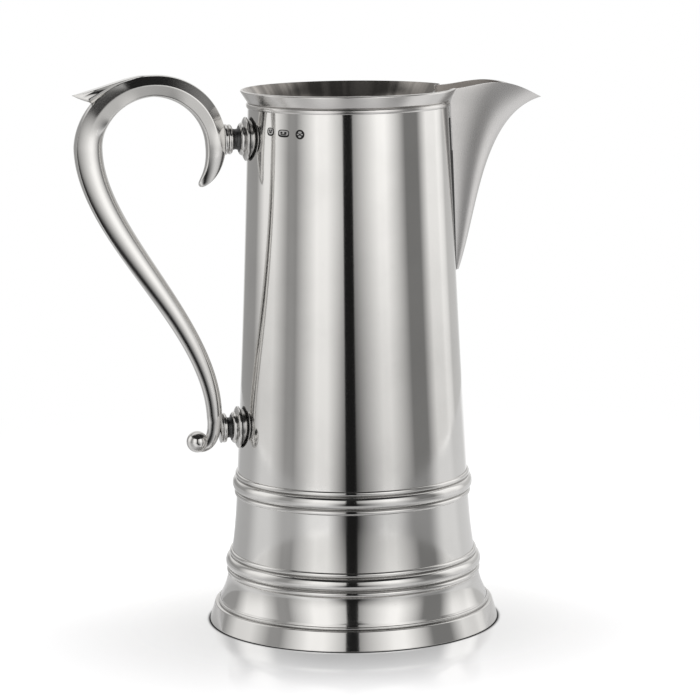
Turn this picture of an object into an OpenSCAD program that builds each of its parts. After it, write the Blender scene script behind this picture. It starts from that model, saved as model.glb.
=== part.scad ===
// Lidless pewter flagon: tapered drum on a banded waist and spreading foot,
// lipped spout in front (+X) and a scrolled handle behind (-X).
// Millimetres, +Z up. The origin is on the axis of the body, on the plane that the foot stands on.

/* [Body] */
// Height of the lip above the table
body_height = 224; // [190:1:270]
// Diameter of the foot where it stands
foot_diameter = 122; // [112:1:140]
// Outside diameter of the drum under the rim
drum_top_diameter = 83.3; // [78:0.1:88]
// Outside diameter of the drum at its lower edge
drum_bottom_diameter = 97.2; // [93:0.1:100]
// How far the wall of the drum is drawn in at half height
drum_hollow = 0.45; // [0:0.05:1]
// Thickness of the sheet walls
wall = 1.6; // [1.2:0.1:2.4]
// Gap left for solder between parts that are fitted together
solder_gap = 0.05; // [0.02:0.01:0.1]

/* [Bands] */
// Height of the middle of the upper band
upper_band_z = 59; // [50:1:75]
// Height of the middle of the lower band
lower_band_z = 25.8; // [24:0.2:29]
// Height of each band
band_height = 9.8; // [8:0.2:12]
// How far the roll of a band stands out from the wall
band_relief = 1.9; // [1.2:0.1:3]
// Radius of the waist wall under the top of the lower band
waist_flare_radius = 51.1; // [50.4:0.1:53]
// Radius of the foot wall under the bottom of the lower band
foot_neck_radius = 52.7; // [52:0.1:54]

/* [Foot] */
// Height of the foot ring
foot_ring_height = 10; // [9.2:0.2:13]
// Height of the plain sloping face of the foot ring
foot_face_height = 8; // [6:0.2:8.6]
// Width of the foot ring from its seat for the foot wall to its edge
foot_ring_width = 4.5; // [4:0.1:6]
// Thickness of the floor of the vessel
floor_thickness = 2; // [1.5:0.1:3]

/* [Rim] */
// Height of the rim above the edge of the drum
rim_height = 7.4; // [5.5:0.1:10]
// How far the lip stands out from the drum
rim_flare = 3; // [1.5:0.1:4.5]
// Depth of the spigot of the rim inside the drum
rim_spigot = 6; // [4:0.5:9]

/* [Spout] */
// Height of the spout from its lower end to the lip
spout_height = 77; // [60:1:95]
// Reach of the tip of the spout beyond the drum
spout_reach = 41.2; // [30:0.2:50]
// Half of the angle that the spout takes up at the rim, in degrees
spout_half_angle = 18; // [14:0.5:22]
// Thickness of the sheet of the spout
spout_sheet = 1.3; // [1:0.1:1.8]
// How far the tip of the spout dips below the lip
spout_dip = 5.6; // [2:0.1:8]
// How far the edge of the spout arches up on its way to the tip
spout_arch = 2.6; // [0.5:0.1:4]
// Width of the land left on the drum beside the cut behind the spout
spout_land = 2.6; // [2:0.1:4]

/* [Handle] */
// How far the upper fixing of the handle lies below the lip
upper_fixing_drop = 19.6; // [17:0.2:34]
// How far the lower fixing of the handle lies above the middle of the upper band
lower_fixing_rise = 25; // [21:0.5:41]
// Length of the upper fixing from the drum to the handle
upper_fixing_length = 9.5; // [8.6:0.1:13]
// Length of the lower fixing from the drum to the handle
lower_fixing_length = 8; // [7.4:0.1:11]
// Radius of the arch of the handle, to the middle of the bar
arch_radius = 25.7; // [23:0.1:30]
// Rise of the arch above the middle of the upper fixing, to the middle of the bar
arch_rise = 22.8; // [20:0.1:27]
// How far the grip is drawn out behind the arch
grip_draw = 1.3; // [0:0.1:4]
// Depth of the bar at the grip
grip_depth = 11.7; // [9.5:0.1:13.5]
// Width of the bar at the grip
grip_width = 11; // [9:0.1:13]
// Length of the spur behind the grip
spur_length = 10; // [6:0.2:14]
// Radius of the ball at the lower end
ball_radius = 4.5; // [3.6:0.1:5]

/* [Fixings] */
// Radius of the upper rosette on the drum
upper_rosette_radius = 9.1; // [8:0.1:10.5]
// Radius of the lower rosette on the drum
lower_rosette_radius = 8.8; // [8:0.1:10.5]
// Radius of the collars at the handle
collar_radius = 6.2; // [5.4:0.1:7]
// Radius of the necks between collars and rosettes
neck_radius = 4.2; // [3.4:0.1:4.6]
// Radius of the pegs turned on the ends of the fixings
peg_radius = 1.8; // [1.2:0.1:2.2]

/* [Hidden] */
$fn = 160;
far = 400;
drum_top_z = body_height - rim_height;
drum_top_r = drum_top_diameter / 2;
drum_bottom_r = drum_bottom_diameter / 2;
drum_taper = (drum_bottom_r - drum_top_r) / (drum_top_z - upper_band_z);
lower_band_top = lower_band_z + band_height / 2;
lower_band_bottom = lower_band_z - band_height / 2;
upper_band_top = upper_band_z + band_height / 2;
upper_band_bottom = upper_band_z - band_height / 2;
foot_r = foot_diameter / 2;
foot_seat_radius = foot_r - foot_ring_width;
upper_fixing_z = body_height - upper_fixing_drop;
lower_fixing_z = upper_band_z + lower_fixing_rise;
floor_seat_z = lower_band_top - 1;
spigot_wall = wall - 0.2;

function lerp(a, b, t) = a + (b - a) * t;
function bezier2(a, b, c, t) = (1 - t) * (1 - t) * a + 2 * t * (1 - t) * b + t * t * c;
function bezier3(a, b, c, d, t) =
    pow(1 - t, 3) * a + 3 * t * pow(1 - t, 2) * b + 3 * t * t * (1 - t) * c + pow(t, 3) * d;

// Outside radius of the drum at height z; below the drum the same cone is carried on
function drum_r(z) =
    let (u = (drum_top_z - z) / (drum_top_z - upper_band_z))
    drum_top_r + drum_taper * (drum_top_z - z) - 4 * drum_hollow * u * (1 - u);

// Outside radius of the waist between the two bands, s from 0 at the bottom to 1 at the top
function waist_point(s) = bezier2(
    [waist_flare_radius, lower_band_top],
    [lerp(drum_r(upper_band_bottom), waist_flare_radius, 0.27), lerp(lower_band_top, upper_band_bottom, 0.44)],
    [drum_r(upper_band_bottom), upper_band_bottom], s);

// Radius of the walls behind the lower band
function lower_wall_r(z) = lerp(foot_neck_radius, waist_flare_radius, (z - lower_band_bottom) / band_height);

// Half round from share u0 to share u1 of the height of the band, as [share, relief]
function half_round(u0, u1, low, high, n) =
    [for (i = [0 : n]) [lerp(u0, u1, (1 - cos(180 * i / n)) / 2), low + (high - low) * sin(180 * i / n)]];
// Lower bead, groove, roll, groove and upper bead
function band_relief_points() = concat(
    half_round(0, 0.2, 0.2 * band_relief, 0.5 * band_relief, 8),
    [[0.225, 0.2 * band_relief]],
    half_round(0.25, 0.765, 0.3 * band_relief, band_relief, 18),
    [[0.785, 0.2 * band_relief]],
    half_round(0.805, 1, 0.22 * band_relief, 0.5 * band_relief, 8));

// Band on a wall of radius low_r at its bottom and high_r at its top
module band(z_middle, low_r, high_r) {
    z0 = z_middle - band_height / 2;
    outside = [for (p = band_relief_points())
        [lerp(low_r, high_r, p[0]) + p[1], z0 + p[0] * band_height]];
    rotate_extrude()
        polygon(concat(
            [[low_r + solder_gap, z0]],
            outside,
            [[high_r + solder_gap, z0 + band_height]]));
}

// Half width of the cut in the drum at its top edge, and the height where the cut begins
cut_half_width = drum_top_r * sin(spout_half_angle) - spout_land;
cut_bottom_z = body_height - 0.76 * spout_height;

module body_drum() {
    steps = 16;
    outside = [for (i = [0 : steps])
        let (z = lerp(upper_band_z, drum_top_z, i / steps)) [drum_r(z), z]];
    inside = [for (i = [steps : -1 : 0]) outside[i] - [wall, 0]];
    color("silver")
    difference() {
        rotate_extrude()
            polygon(concat(outside, inside));
        translate([drum_top_r / 2, 0, 0])
            rotate([90, 0, 90])
                linear_extrude(drum_bottom_r)
                    polygon([
                        [-1.5, cut_bottom_z],
                        [1.5, cut_bottom_z],
                        [cut_half_width, drum_top_z + 1],
                        [-cut_half_width, drum_top_z + 1]]);
    }
}

// Sector that is taken out of the rim for the spout
module rim_gap() {
    a = spout_half_angle + asin(3 * solder_gap / drum_top_r);
    translate([0, 0, drum_top_z - rim_spigot - 1])
        linear_extrude(rim_height + rim_spigot + 5)
            polygon([
                [0, 0],
                [2 * drum_top_r * cos(a), -2 * drum_top_r * sin(a)],
                [2 * drum_top_r * cos(a), 2 * drum_top_r * sin(a)]]);
}

module rim_moulding() {
    lip_r = drum_top_r + rim_flare;
    bead_top = drum_top_z + 0.28 * rim_height;
    bead = [for (i = [0 : 8])
        [drum_top_r + 0.1 + 0.35 * sin(180 * i / 8), lerp(drum_top_z, bead_top, i / 8)]];
    flare = [for (i = [0 : 10])
        bezier2([drum_top_r + 0.1, bead_top + 0.25],
                [drum_top_r + 0.45 * rim_flare, lerp(bead_top, body_height, 0.3)],
                [lip_r, body_height - 0.6], i / 10)];
    throat = [for (i = [0 : 8])
        bezier2([lip_r - 1.1, body_height],
                [drum_top_r - wall + 0.35 * rim_flare, lerp(bead_top, body_height, 0.4)],
                [drum_top_r - wall - 0.2, bead_top], i / 8)];
    spigot_top_r = drum_top_r - wall - solder_gap;
    spigot_low_r = drum_r(drum_top_z - rim_spigot) - wall - solder_gap;
    color("gainsboro")
    difference() {
        rotate_extrude()
            polygon(concat(
                [[spigot_low_r - 1, drum_top_z - rim_spigot],
                 [spigot_low_r, drum_top_z - rim_spigot],
                 [spigot_top_r, drum_top_z]],
                bead,
                [[drum_top_r - 0.1, bead_top + 0.12]],
                flare,
                [[lip_r - 0.15, body_height - 0.15], [lip_r - 0.5, body_height]],
                throat,
                [[drum_top_r - wall - 1, drum_top_z]]));
        rim_gap();
    }
}

// The spout is a sheet between two curves: the joint on the drum and the keel.
// s runs up from the lower end, q runs out from the joint to the keel.
spout_low_z = body_height - spout_height;
spout_tip_z = body_height - spout_dip;
spout_levels = 26;
spout_columns = 13;

function keel(s) = bezier3(
    [drum_r(spout_low_z) + 2.4, spout_low_z],
    [drum_r(spout_low_z) + 0.265 * spout_reach, spout_low_z + 0.335 * (spout_tip_z - spout_low_z)],
    [drum_top_r + 0.37 * spout_reach, spout_low_z + 0.91 * (spout_tip_z - spout_low_z)],
    [drum_top_r + spout_reach, spout_tip_z], s);
function spout_rise(s) = (keel(s)[1] - spout_low_z) / (spout_tip_z - spout_low_z);
function spout_edge_z(q) =
    body_height - 0.5 + spout_arch * pow(sin(180 * pow(q, 1.15)), 1.6) - (spout_dip - 0.5) * pow(q, 3.4);
function spout_z(s, q) = lerp(spout_low_z, spout_edge_z(q), spout_rise(s));
function seat_r(z) = drum_r(min(z, drum_top_z)) + solder_gap;
function spout_angle(s) = lerp(3, spout_half_angle, spout_rise(s));
// Point of the sheet, inset by d from the outside
function spout_point(s, q, d) =
    let (z = spout_z(s, q),
         r = seat_r(z),
         a = max(0.25 * spout_angle(s), spout_angle(s) - d / r * 180 / PI),
         tip = keel(s)[0] - d * lerp(1.1, 1.9, pow(s, 3)),
         sharp = pow(s, 3),
         out = lerp(sin(90 * q), q, sharp),
         side = lerp(cos(90 * q), 1 - pow(q, 2.4), sharp),
         x = lerp(r * cos(a), tip, out),
         y = r * sin(a) * side,
         push = max(1, r / norm([x, y])))
    [x * push, y * push, z];
function spout_row(s, d) = concat(
    [for (i = [0 : spout_columns]) let (p = spout_point(s, i / spout_columns, d)) [p[0], -p[1], p[2]]],
    [for (i = [spout_columns - 1 : -1 : 0]) spout_point(s, i / spout_columns, d)]);

module spout() {
    n = 2 * spout_columns + 1;
    m = spout_levels + 1;
    rows = [for (j = [0 : spout_levels]) for (d = [0, spout_sheet]) spout_row(j / spout_levels, d)];
    points = [for (row = rows) each row];
    function id(j, side, i) = (2 * j + side) * n + i;
    color("lightgray")
    polyhedron(points, concat(
        [for (j = [0 : m - 2]) for (i = [0 : n - 2])
            each [[id(j, 0, i), id(j + 1, 0, i), id(j + 1, 0, i + 1)],
                  [id(j, 0, i), id(j + 1, 0, i + 1), id(j, 0, i + 1)]]],
        [for (j = [0 : m - 2]) for (i = [0 : n - 2])
            each [[id(j, 1, i), id(j, 1, i + 1), id(j + 1, 1, i + 1)],
                  [id(j, 1, i), id(j + 1, 1, i + 1), id(j + 1, 1, i)]]],
        [for (i = [0 : n - 2])
            each [[id(m - 1, 0, i), id(m - 1, 1, i), id(m - 1, 1, i + 1)],
                  [id(m - 1, 0, i), id(m - 1, 1, i + 1), id(m - 1, 0, i + 1)],
                  [id(0, 0, i), id(0, 0, i + 1), id(0, 1, i + 1)],
                  [id(0, 0, i), id(0, 1, i + 1), id(0, 1, i)]]],
        [for (j = [0 : m - 2])
            each [[id(j, 0, 0), id(j, 1, 0), id(j + 1, 1, 0)],
                  [id(j, 0, 0), id(j + 1, 1, 0), id(j + 1, 0, 0)],
                  [id(j, 0, n - 1), id(j + 1, 0, n - 1), id(j + 1, 1, n - 1)],
                  [id(j, 0, n - 1), id(j + 1, 1, n - 1), id(j, 1, n - 1)]]]));
}

module upper_band() {
    color("gainsboro")
        band(upper_band_z, drum_r(upper_band_bottom), drum_r(upper_band_top));
}

module waist_drum() {
    spigot_top = upper_band_top + 2;
    outside = [for (i = [0 : 12]) waist_point(i / 12)];
    color("silver")
    rotate_extrude()
        polygon(concat(
            [[lower_wall_r(lower_band_z) - wall, lower_band_z],
             [lower_wall_r(lower_band_z), lower_band_z]],
            outside,
            [[drum_r(upper_band_z), upper_band_z],
             [drum_r(upper_band_z) - wall - solder_gap, upper_band_z],
             [drum_r(spigot_top) - wall - solder_gap, spigot_top],
             [drum_r(spigot_top) - wall - spigot_wall, spigot_top],
             [drum_r(upper_band_bottom) - wall - spigot_wall, upper_band_bottom + 1]],
            [for (i = [12 : -1 : 0]) let (p = outside[i]) [p[0] - wall, p[1]]]));
}

module lower_band() {
    color("gainsboro")
        band(lower_band_z, foot_neck_radius, waist_flare_radius);
}

// Inside radius of the waist wall behind the lower band
function waist_inside(z) = lower_wall_r(z) - wall;

module floor_disc() {
    r = waist_point(0.08)[0] - wall - 4 * solder_gap;
    color("darkgray")
    translate([0, 0, floor_seat_z])
        cylinder(h = floor_thickness, r = min(r, waist_inside(lower_band_top) - 4 * solder_gap));
}

module foot_wall() {
    neck_z = lower_band_bottom - 0.4;
    cove = [for (i = [0 : 10])
        let (t = i / 10,
             drop = (neck_z - foot_ring_height) * t)
        [foot_neck_radius + 0.4 + (foot_seat_radius - foot_neck_radius - 0.4) * pow(t, 1.7), neck_z - drop]];
    inside = [for (p = cove) [p[0] - wall, p[1]]];
    ledge = foot_seat_radius - wall;
    spigot_r = waist_inside(floor_seat_z) - solder_gap;
    color("silver")
    rotate_extrude()
        polygon(concat(
            [[spigot_r - spigot_wall, floor_seat_z],
             [spigot_r, floor_seat_z],
             [waist_inside(lower_band_z) - solder_gap, lower_band_z],
             [lower_wall_r(lower_band_z), lower_band_z],
             [foot_neck_radius, lower_band_bottom],
             [foot_neck_radius + 0.4, lower_band_bottom - 0.05]],
            cove,
            [[foot_seat_radius, 2.6],
             [ledge, 2.6]],
            [for (i = [10 : -1 : 0]) inside[i]],
            [[spigot_r - spigot_wall, lower_band_bottom]]));
}

module foot_ring() {
    bore = foot_seat_radius + solder_gap;
    top = foot_ring_height;
    step = foot_face_height;
    face_r = lerp(bore, foot_r, 0.483);
    bead_r = lerp(bore, foot_r, 0.1);
    bead = [for (i = [0 : 8])
        [bead_r + 0.25 * sin(180 * i / 8), lerp(step + 0.3, lerp(step, top, 0.7), i / 8)]];
    color("silver")
    rotate_extrude()
        polygon(concat(
            [[bore - 2.2, 0],
             [foot_r - 0.3, 0],
             [foot_r - 0.08, 0.1],
             [foot_r, 0.35],
             [face_r, step - 0.4],
             [face_r - 0.2, step],
             [bead_r + 0.2, step + 0.15]],
            bead,
            [[bead_r - 0.15, lerp(step, top, 0.75)],
             [bore + 0.1, top],
             [bore, top],
             [bore, 2.6],
             [bore - 2.2, 2.6]]));
}

// Middle line of the handle, in the plane y = 0, as [distance behind the axis, height]
upper_seat = drum_r(upper_fixing_z) + upper_fixing_length;
lower_seat = drum_r(lower_fixing_z) + lower_fixing_length;
hook_depth = 0.72 * grip_depth;
crown_depth = 0.76 * grip_depth;
tail_depth = 0.53 * grip_depth;
arch_x = upper_seat + hook_depth / 2 + arch_radius;
arch_z = upper_fixing_z - 2;
grip_x = arch_x + arch_radius + grip_draw;
tail_x = lower_seat + tail_depth / 2;
tail_z = lower_fixing_z + 4;
sweep = arch_z - tail_z;
hook_start = [arch_x - arch_radius, arch_z];
hook_tip = hook_start + [7.2, -16.8];
ball_centre = [tail_x + 7.5, lower_fixing_z - 5.4];

function hook_line(t) = bezier3(
    hook_tip, hook_tip + [-4.3, 3.2], hook_start + [0, -8.5], hook_start, t);
function arch_line(t) =
    let (a = 180 * t, r = arch_radius + grip_draw * pow(t, 2))
    [arch_x - r * cos(a), arch_z + (arch_rise + 2) * sin(a)];
function grip_line(t) = bezier3(
    [grip_x, arch_z], [grip_x, arch_z - 0.315 * sweep],
    [tail_x, tail_z + 0.355 * sweep], [tail_x, tail_z], t);
function tail_line(t) = bezier3(
    [tail_x, tail_z], [tail_x, tail_z - 7], ball_centre + [-5.4, -2.9], ball_centre + [-0.6, -2.3], t);

// Depth of the bar along the same four stretches
function hook_bar(t) = lerp(0.9, hook_depth, pow(t, 0.52));
function arch_bar(t) = t < 0.5
    ? lerp(hook_depth, crown_depth, 2 * t) + 0.09 * grip_depth * sin(360 * t)
    : lerp(crown_depth, grip_depth, 2 * t - 1);
function grip_bar(t) = lerp(grip_depth, tail_depth, pow(t, 1.3));
function tail_bar(t) = lerp(tail_depth, 4.2, pow(t, 0.7));

handle_line = concat(
    [for (i = [0 : 9]) let (t = i / 10) [hook_line(t), hook_bar(t)]],
    [for (i = [0 : 23]) let (t = i / 24) [arch_line(t), arch_bar(t)]],
    [for (i = [0 : 21]) let (t = i / 22) [grip_line(t), grip_bar(t)]],
    [for (i = [0 : 6]) let (t = i / 6) [tail_line(t), tail_bar(t)]]);
handle_last = len(handle_line) - 1;

function unit(v) = v / norm(v);
function along(i) = unit(
    handle_line[min(i + 1, handle_last)][0] - handle_line[max(i - 1, 0)][0]);
// Direction from the middle of the bar to its flat back
function back(i) = let (t = along(i)) [-t[1], t[0]];

// Section of the bar as [towards the back, across]: flat back, sharp edge, round flank and belly
back_share = 0.36;
function bar_half(depth, width) = concat(
    [for (q = [0 : 0.25 : 0.75])
        [lerp(depth / 2, 0.08 * depth, q), width * lerp(back_share, 0.5, sin(90 * q))]],
    [for (q = [0 : 0.16667 : 0.9])
        [lerp(0.08 * depth, -depth / 2, sin(90 * q)), width / 2 * cos(90 * q)]]);
function bar_section(depth, width) =
    let (half = bar_half(depth, width), n = len(half))
    concat(half, [[-depth / 2, 0]], [for (k = [n - 1 : -1 : 0]) [half[k][0], -half[k][1]]]);
function bar_ring(i) =
    let (c = handle_line[i][0],
         depth = handle_line[i][1],
         b = back(i))
    [for (p = bar_section(depth, depth * grip_width / grip_depth))
        [-(c[0] + p[0] * b[0]), p[1], c[1] + p[0] * b[1]]];

module handle_bar() {
    rings = [for (i = [0 : handle_last]) bar_ring(i)];
    n = len(rings[0]);
    points = [for (r = rings) each r];
    polyhedron(points, concat(
        [[for (k = [0 : n - 1]) k]],
        [for (i = [0 : handle_last - 1]) for (k = [0 : n - 1])
            let (a = i * n + k, b = i * n + (k + 1) % n)
            each [[a, a + n, b + n], [a, b + n, b]]],
        [[for (k = [n - 1 : -1 : 0]) handle_last * n + k]]));
}

// Turned shape along a fixing: z runs from the axis of the body out to the handle
module on_fixing(z) {
    translate([0, 0, z])
        rotate([0, -90, 0])
            children();
}

seat_depth = 0.9;
peg_length = 3;

module handle() {
    color("lightgray")
    difference() {
        handle_bar();
        on_fixing(upper_fixing_z) {
            translate([0, 0, upper_seat - 8])
                cylinder(h = 8 + seat_depth + solder_gap, r = collar_radius + 1);
            translate([0, 0, upper_seat])
                cylinder(h = seat_depth + peg_length + 0.2, r = peg_radius + solder_gap);
        }
        on_fixing(lower_fixing_z) {
            translate([0, 0, lower_seat - 8])
                cylinder(h = 8 + seat_depth + solder_gap, r = collar_radius + 1);
            translate([0, 0, lower_seat])
                cylinder(h = seat_depth + 0.7 * peg_length + 0.2, r = peg_radius + solder_gap);
        }
        translate([-ball_centre[0], 0, ball_centre[1]])
            sphere(r = ball_radius + solder_gap);
    }
}

module thumb_spur() {
    first = 25;
    last = 29;
    seat = [for (i = [first : last])
        handle_line[i][0] + (handle_line[i][1] / 2 + solder_gap) * back(i)];
    low = seat[len(seat) - 1];
    tip = low + [0.82 * spur_length, 0.31 * spur_length];
    high = seat[0] + 0.15 * back(first);
    under = [for (i = [1 : 5]) bezier2(low, lerp(low, tip, 0.5) + [0.3, -0.4], tip, i / 5)];
    over = [for (i = [0 : 5]) bezier2(tip + [-0.1, 0.35], lerp(tip, high, 0.4) + [0, -1.2], high, i / 5)];
    half = grip_width * back_share - 0.2;
    color("lightgray")
    intersection() {
        rotate([90, 0, 0])
            translate([0, 0, -half])
                linear_extrude(2 * half)
                    polygon([for (p = concat(seat, under, over)) [-p[0], p[1]]]);
        translate([0, 0, arch_z])
            linear_extrude(far)
                polygon([
                    [-high[0] + 2, -half],
                    [-low[0], -half],
                    [-tip[0] + 2, -0.5 * half],
                    [-tip[0], -0.15 * half],
                    [-tip[0], 0.15 * half],
                    [-tip[0] + 2, 0.5 * half],
                    [-low[0], half],
                    [-high[0] + 2, half]]);
    }
}

module ball_terminal() {
    color("lightgray")
    translate([-ball_centre[0], 0, ball_centre[1]])
        sphere(r = ball_radius);
}

// Stepped rosette that is hollowed to the drum and takes the peg of the collar
rosette_height = 4.1;

module rosette(z, radius) {
    r = drum_r(z);
    dip = r - sqrt(r * r - radius * radius) + drum_taper * radius;
    difference() {
        on_fixing(z)
            translate([0, 0, r])
                rotate_extrude($fn = 96)
                    polygon([
                        [0, -dip],
                        [radius - 1.3, -dip],
                        [radius - 1.3, 0.3],
                        [radius - 0.2, 0.8],
                        [radius, 1.1],
                        [radius, 1.5],
                        [radius - 0.3, 1.8],
                        [0.86 * radius, 2.3],
                        [0.79 * radius, 2.4],
                        [0.75 * radius, 2.7],
                        [0.75 * radius, 3.1],
                        [0.7 * radius, 3.6],
                        [0.58 * radius, rosette_height],
                        [0, rosette_height]]);
        translate([0, 0, z - 20])
            cylinder(h = 40, r1 = drum_r(z - 20) + solder_gap, r2 = drum_r(z + 20) + solder_gap);
        on_fixing(z)
            translate([0, 0, r + rosette_height - peg_length + 0.6])
                cylinder(h = peg_length, r = peg_radius + solder_gap, $fn = 48);
    }
}

// Collar with its neck, and a peg on each end
module collar(z, length, depth, peg) {
    r = drum_r(z);
    low = rosette_height + solder_gap;
    face = length + seat_depth;
    disc = length - depth;
    on_fixing(z)
        translate([0, 0, r])
            rotate_extrude($fn = 96)
                polygon([
                    [0, low - peg_length + 1],
                    [peg_radius, low - peg_length + 1],
                    [peg_radius, low],
                    [neck_radius + 0.7, low],
                    [neck_radius + 0.2, lerp(low, disc, 0.25)],
                    [neck_radius, lerp(low, disc, 0.5)],
                    [neck_radius + 0.2, lerp(low, disc, 0.75)],
                    [neck_radius + 0.7, disc],
                    [collar_radius - 0.6, disc],
                    [collar_radius - 0.2, disc + 0.4],
                    [collar_radius, disc + 0.85],
                    [collar_radius - 0.2, disc + 1.3],
                    [collar_radius - 0.6, disc + 1.7],
                    [collar_radius - 0.1, disc + 1.9],
                    [collar_radius + 0.1, disc + 2.1],
                    [collar_radius + 0.1, face],
                    [peg_radius, face],
                    [peg_radius, face + peg],
                    [0, face + peg]]);
}

module upper_rosette() {
    color("gainsboro")
        rosette(upper_fixing_z, upper_rosette_radius);
}

module upper_collar() {
    color("gainsboro")
        collar(upper_fixing_z, upper_fixing_length, 2.2, peg_length);
}

module lower_rosette() {
    color("gainsboro")
        rosette(lower_fixing_z, lower_rosette_radius);
}

module lower_collar() {
    color("gainsboro")
        collar(lower_fixing_z, lower_fixing_length, 1.5, 0.7 * peg_length);
}

body_drum();
rim_moulding();
spout();
upper_band();
waist_drum();
lower_band();
floor_disc();
foot_wall();
foot_ring();
handle();
thumb_spur();
ball_terminal();
upper_rosette();
upper_collar();
lower_rosette();
lower_collar();
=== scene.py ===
"""Looks of a lidless pewter flagon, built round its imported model.

Size fields are in millimetres and degrees, and meshes are in metres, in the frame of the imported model:
+Z up, the spout towards +X, the handle towards -X, and the origin under the middle of the foot.
"""

import logging
import math
from dataclasses import dataclass
from enum import Enum
from typing import Callable, Iterable, Sequence

import bmesh
import bpy
from mathutils import Matrix, Vector


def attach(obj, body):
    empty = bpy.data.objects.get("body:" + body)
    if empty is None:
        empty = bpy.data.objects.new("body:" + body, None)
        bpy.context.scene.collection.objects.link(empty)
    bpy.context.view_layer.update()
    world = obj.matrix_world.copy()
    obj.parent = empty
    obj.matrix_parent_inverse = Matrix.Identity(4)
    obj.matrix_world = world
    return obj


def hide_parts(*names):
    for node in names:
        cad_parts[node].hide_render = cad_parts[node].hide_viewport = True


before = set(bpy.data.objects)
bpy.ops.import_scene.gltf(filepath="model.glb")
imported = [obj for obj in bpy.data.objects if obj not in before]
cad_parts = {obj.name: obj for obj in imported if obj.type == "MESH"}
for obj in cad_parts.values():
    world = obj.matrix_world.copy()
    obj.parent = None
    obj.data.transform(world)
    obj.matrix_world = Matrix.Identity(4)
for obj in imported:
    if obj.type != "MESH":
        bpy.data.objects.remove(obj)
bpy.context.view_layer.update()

# Metres in a millimetre.
MM = 0.001
# Distance in metres below which two points are one.
WELD = 1e-6
# Play in millimetres between pieces that sit in each other.
FIT = 0.05
BODY = "root"
WHITE = (1.0, 1.0, 1.0, 1.0)
LAMP_WHITE = (1.0, 0.995, 0.985, 1.0)
Point = tuple[float, float]
Colour = tuple[float, float, float]
log = logging.getLogger("flagon")


def lerp(a: float, b: float, t: float) -> float:
    """Returns the value that lies at share t from a to b."""
    return a + (b - a) * t


def soft(value: float, low: float, high: float) -> float:
    """Returns a soft step from 0 at low to 1 at high."""
    t = min(max((value - low) / (high - low), 0.0), 1.0)
    return t * t * (3 - 2 * t)


def spread(low: float, high: float, steps: int) -> list[float]:
    """Returns steps + 1 even values from low to high."""
    return [lerp(low, high, i / steps) for i in range(steps + 1)]


def shifted(point: Point, shift: Point) -> Point:
    """Returns a point moved by a shift."""
    return point[0] + shift[0], point[1] + shift[1]


def between(a: Point, b: Point, t: float) -> Point:
    """Returns the point that lies at share t from a to b."""
    return lerp(a[0], b[0], t), lerp(a[1], b[1], t)


def bezier(points: Sequence[Point], t: float) -> Point:
    """Returns the point at share t of a curve.

    Args:
        points: three or four points that steer the curve.
        t: share of the curve, from 0 to 1.

    Returns:
        The point, as a pair.
    """
    while len(points) > 1:
        points = [between(a, b, t) for a, b in zip(points, points[1:])]
    return points[0]


class Outline:
    """Outline of a turned piece, as pairs of radius and height."""

    def __init__(self, radius: float, height: float) -> None:
        """Starts the outline at a radius and a height."""
        self.points: list[Point] = [(radius, height)]

    def to(self, *points: Point) -> "Outline":
        """Goes on in straight lines through the points, and returns the outline."""
        self.points.extend(points)
        return self

    def curve(self, bend: Point, end: Point, steps: int) -> "Outline":
        """Goes on in a curve.

        Args:
            bend: point that draws the curve towards itself.
            end: last point of the curve.
            steps: number of short lines that make it.

        Returns:
            The outline.
        """
        start = self.points[-1]
        return self.to(*[bezier([start, bend, end], i / steps) for i in range(1, steps + 1)])

    def half_round(self, end: Point, rise: float, steps: int = 16) -> "Outline":
        """Goes on in a half round that stands out to the right of the way to its end.

        Args:
            end: last point of the half round.
            rise: how far it stands out.
            steps: number of short lines that make it.

        Returns:
            The outline.
        """
        r, h = self.points[-1]
        dr, dh = end[0] - r, end[1] - h
        length = math.hypot(dr, dh)
        for i in range(1, steps + 1):
            angle = math.pi * i / steps
            share, lift = (1 - math.cos(angle)) / 2, rise * math.sin(angle)
            self.to((r + dr * share + dh / length * lift, h + dh * share - dr / length * lift))
        return self


@dataclass(frozen=True)
class Spindle:
    """Axis that a piece is turned about.

    The body's own axis stands at the origin. A fixing's axis lies level, towards the handle.
    """

    fixing_height: float | None = None
    start_angle: float = 0.0

    def place(self, radius: float, height: float) -> Vector:
        """Finds where a point of an outline lies.

        Args:
            radius: its distance from the axis.
            height: its distance along the axis.

        Returns:
            The point, in metres.
        """
        if self.fixing_height is None:
            a = math.radians(self.start_angle)
            return Vector((radius * math.cos(a), radius * math.sin(a), height)) * MM
        return Vector((-height, 0, self.fixing_height + radius)) * MM

    @property
    def centre(self) -> Vector:
        """Returns a point of the axis, in metres."""
        return Vector((0, 0, (self.fixing_height or 0) * MM))

    @property
    def axis(self) -> tuple[float, float, float]:
        """Returns the direction of the axis."""
        return (0, 0, 1) if self.fixing_height is None else (1, 0, 0)


@dataclass(frozen=True)
class Station:
    """Place of a bar's section: its middle and depth in metres, and the heading of its back in radians."""

    middle: Vector
    heading: float
    depth: float

    def towards_back(self, point: Vector) -> float:
        """Returns how far a point lies from the middle towards the back, in metres."""
        gap = point - self.middle
        return gap.x * math.cos(self.heading) + gap.z * math.sin(self.heading)


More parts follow.
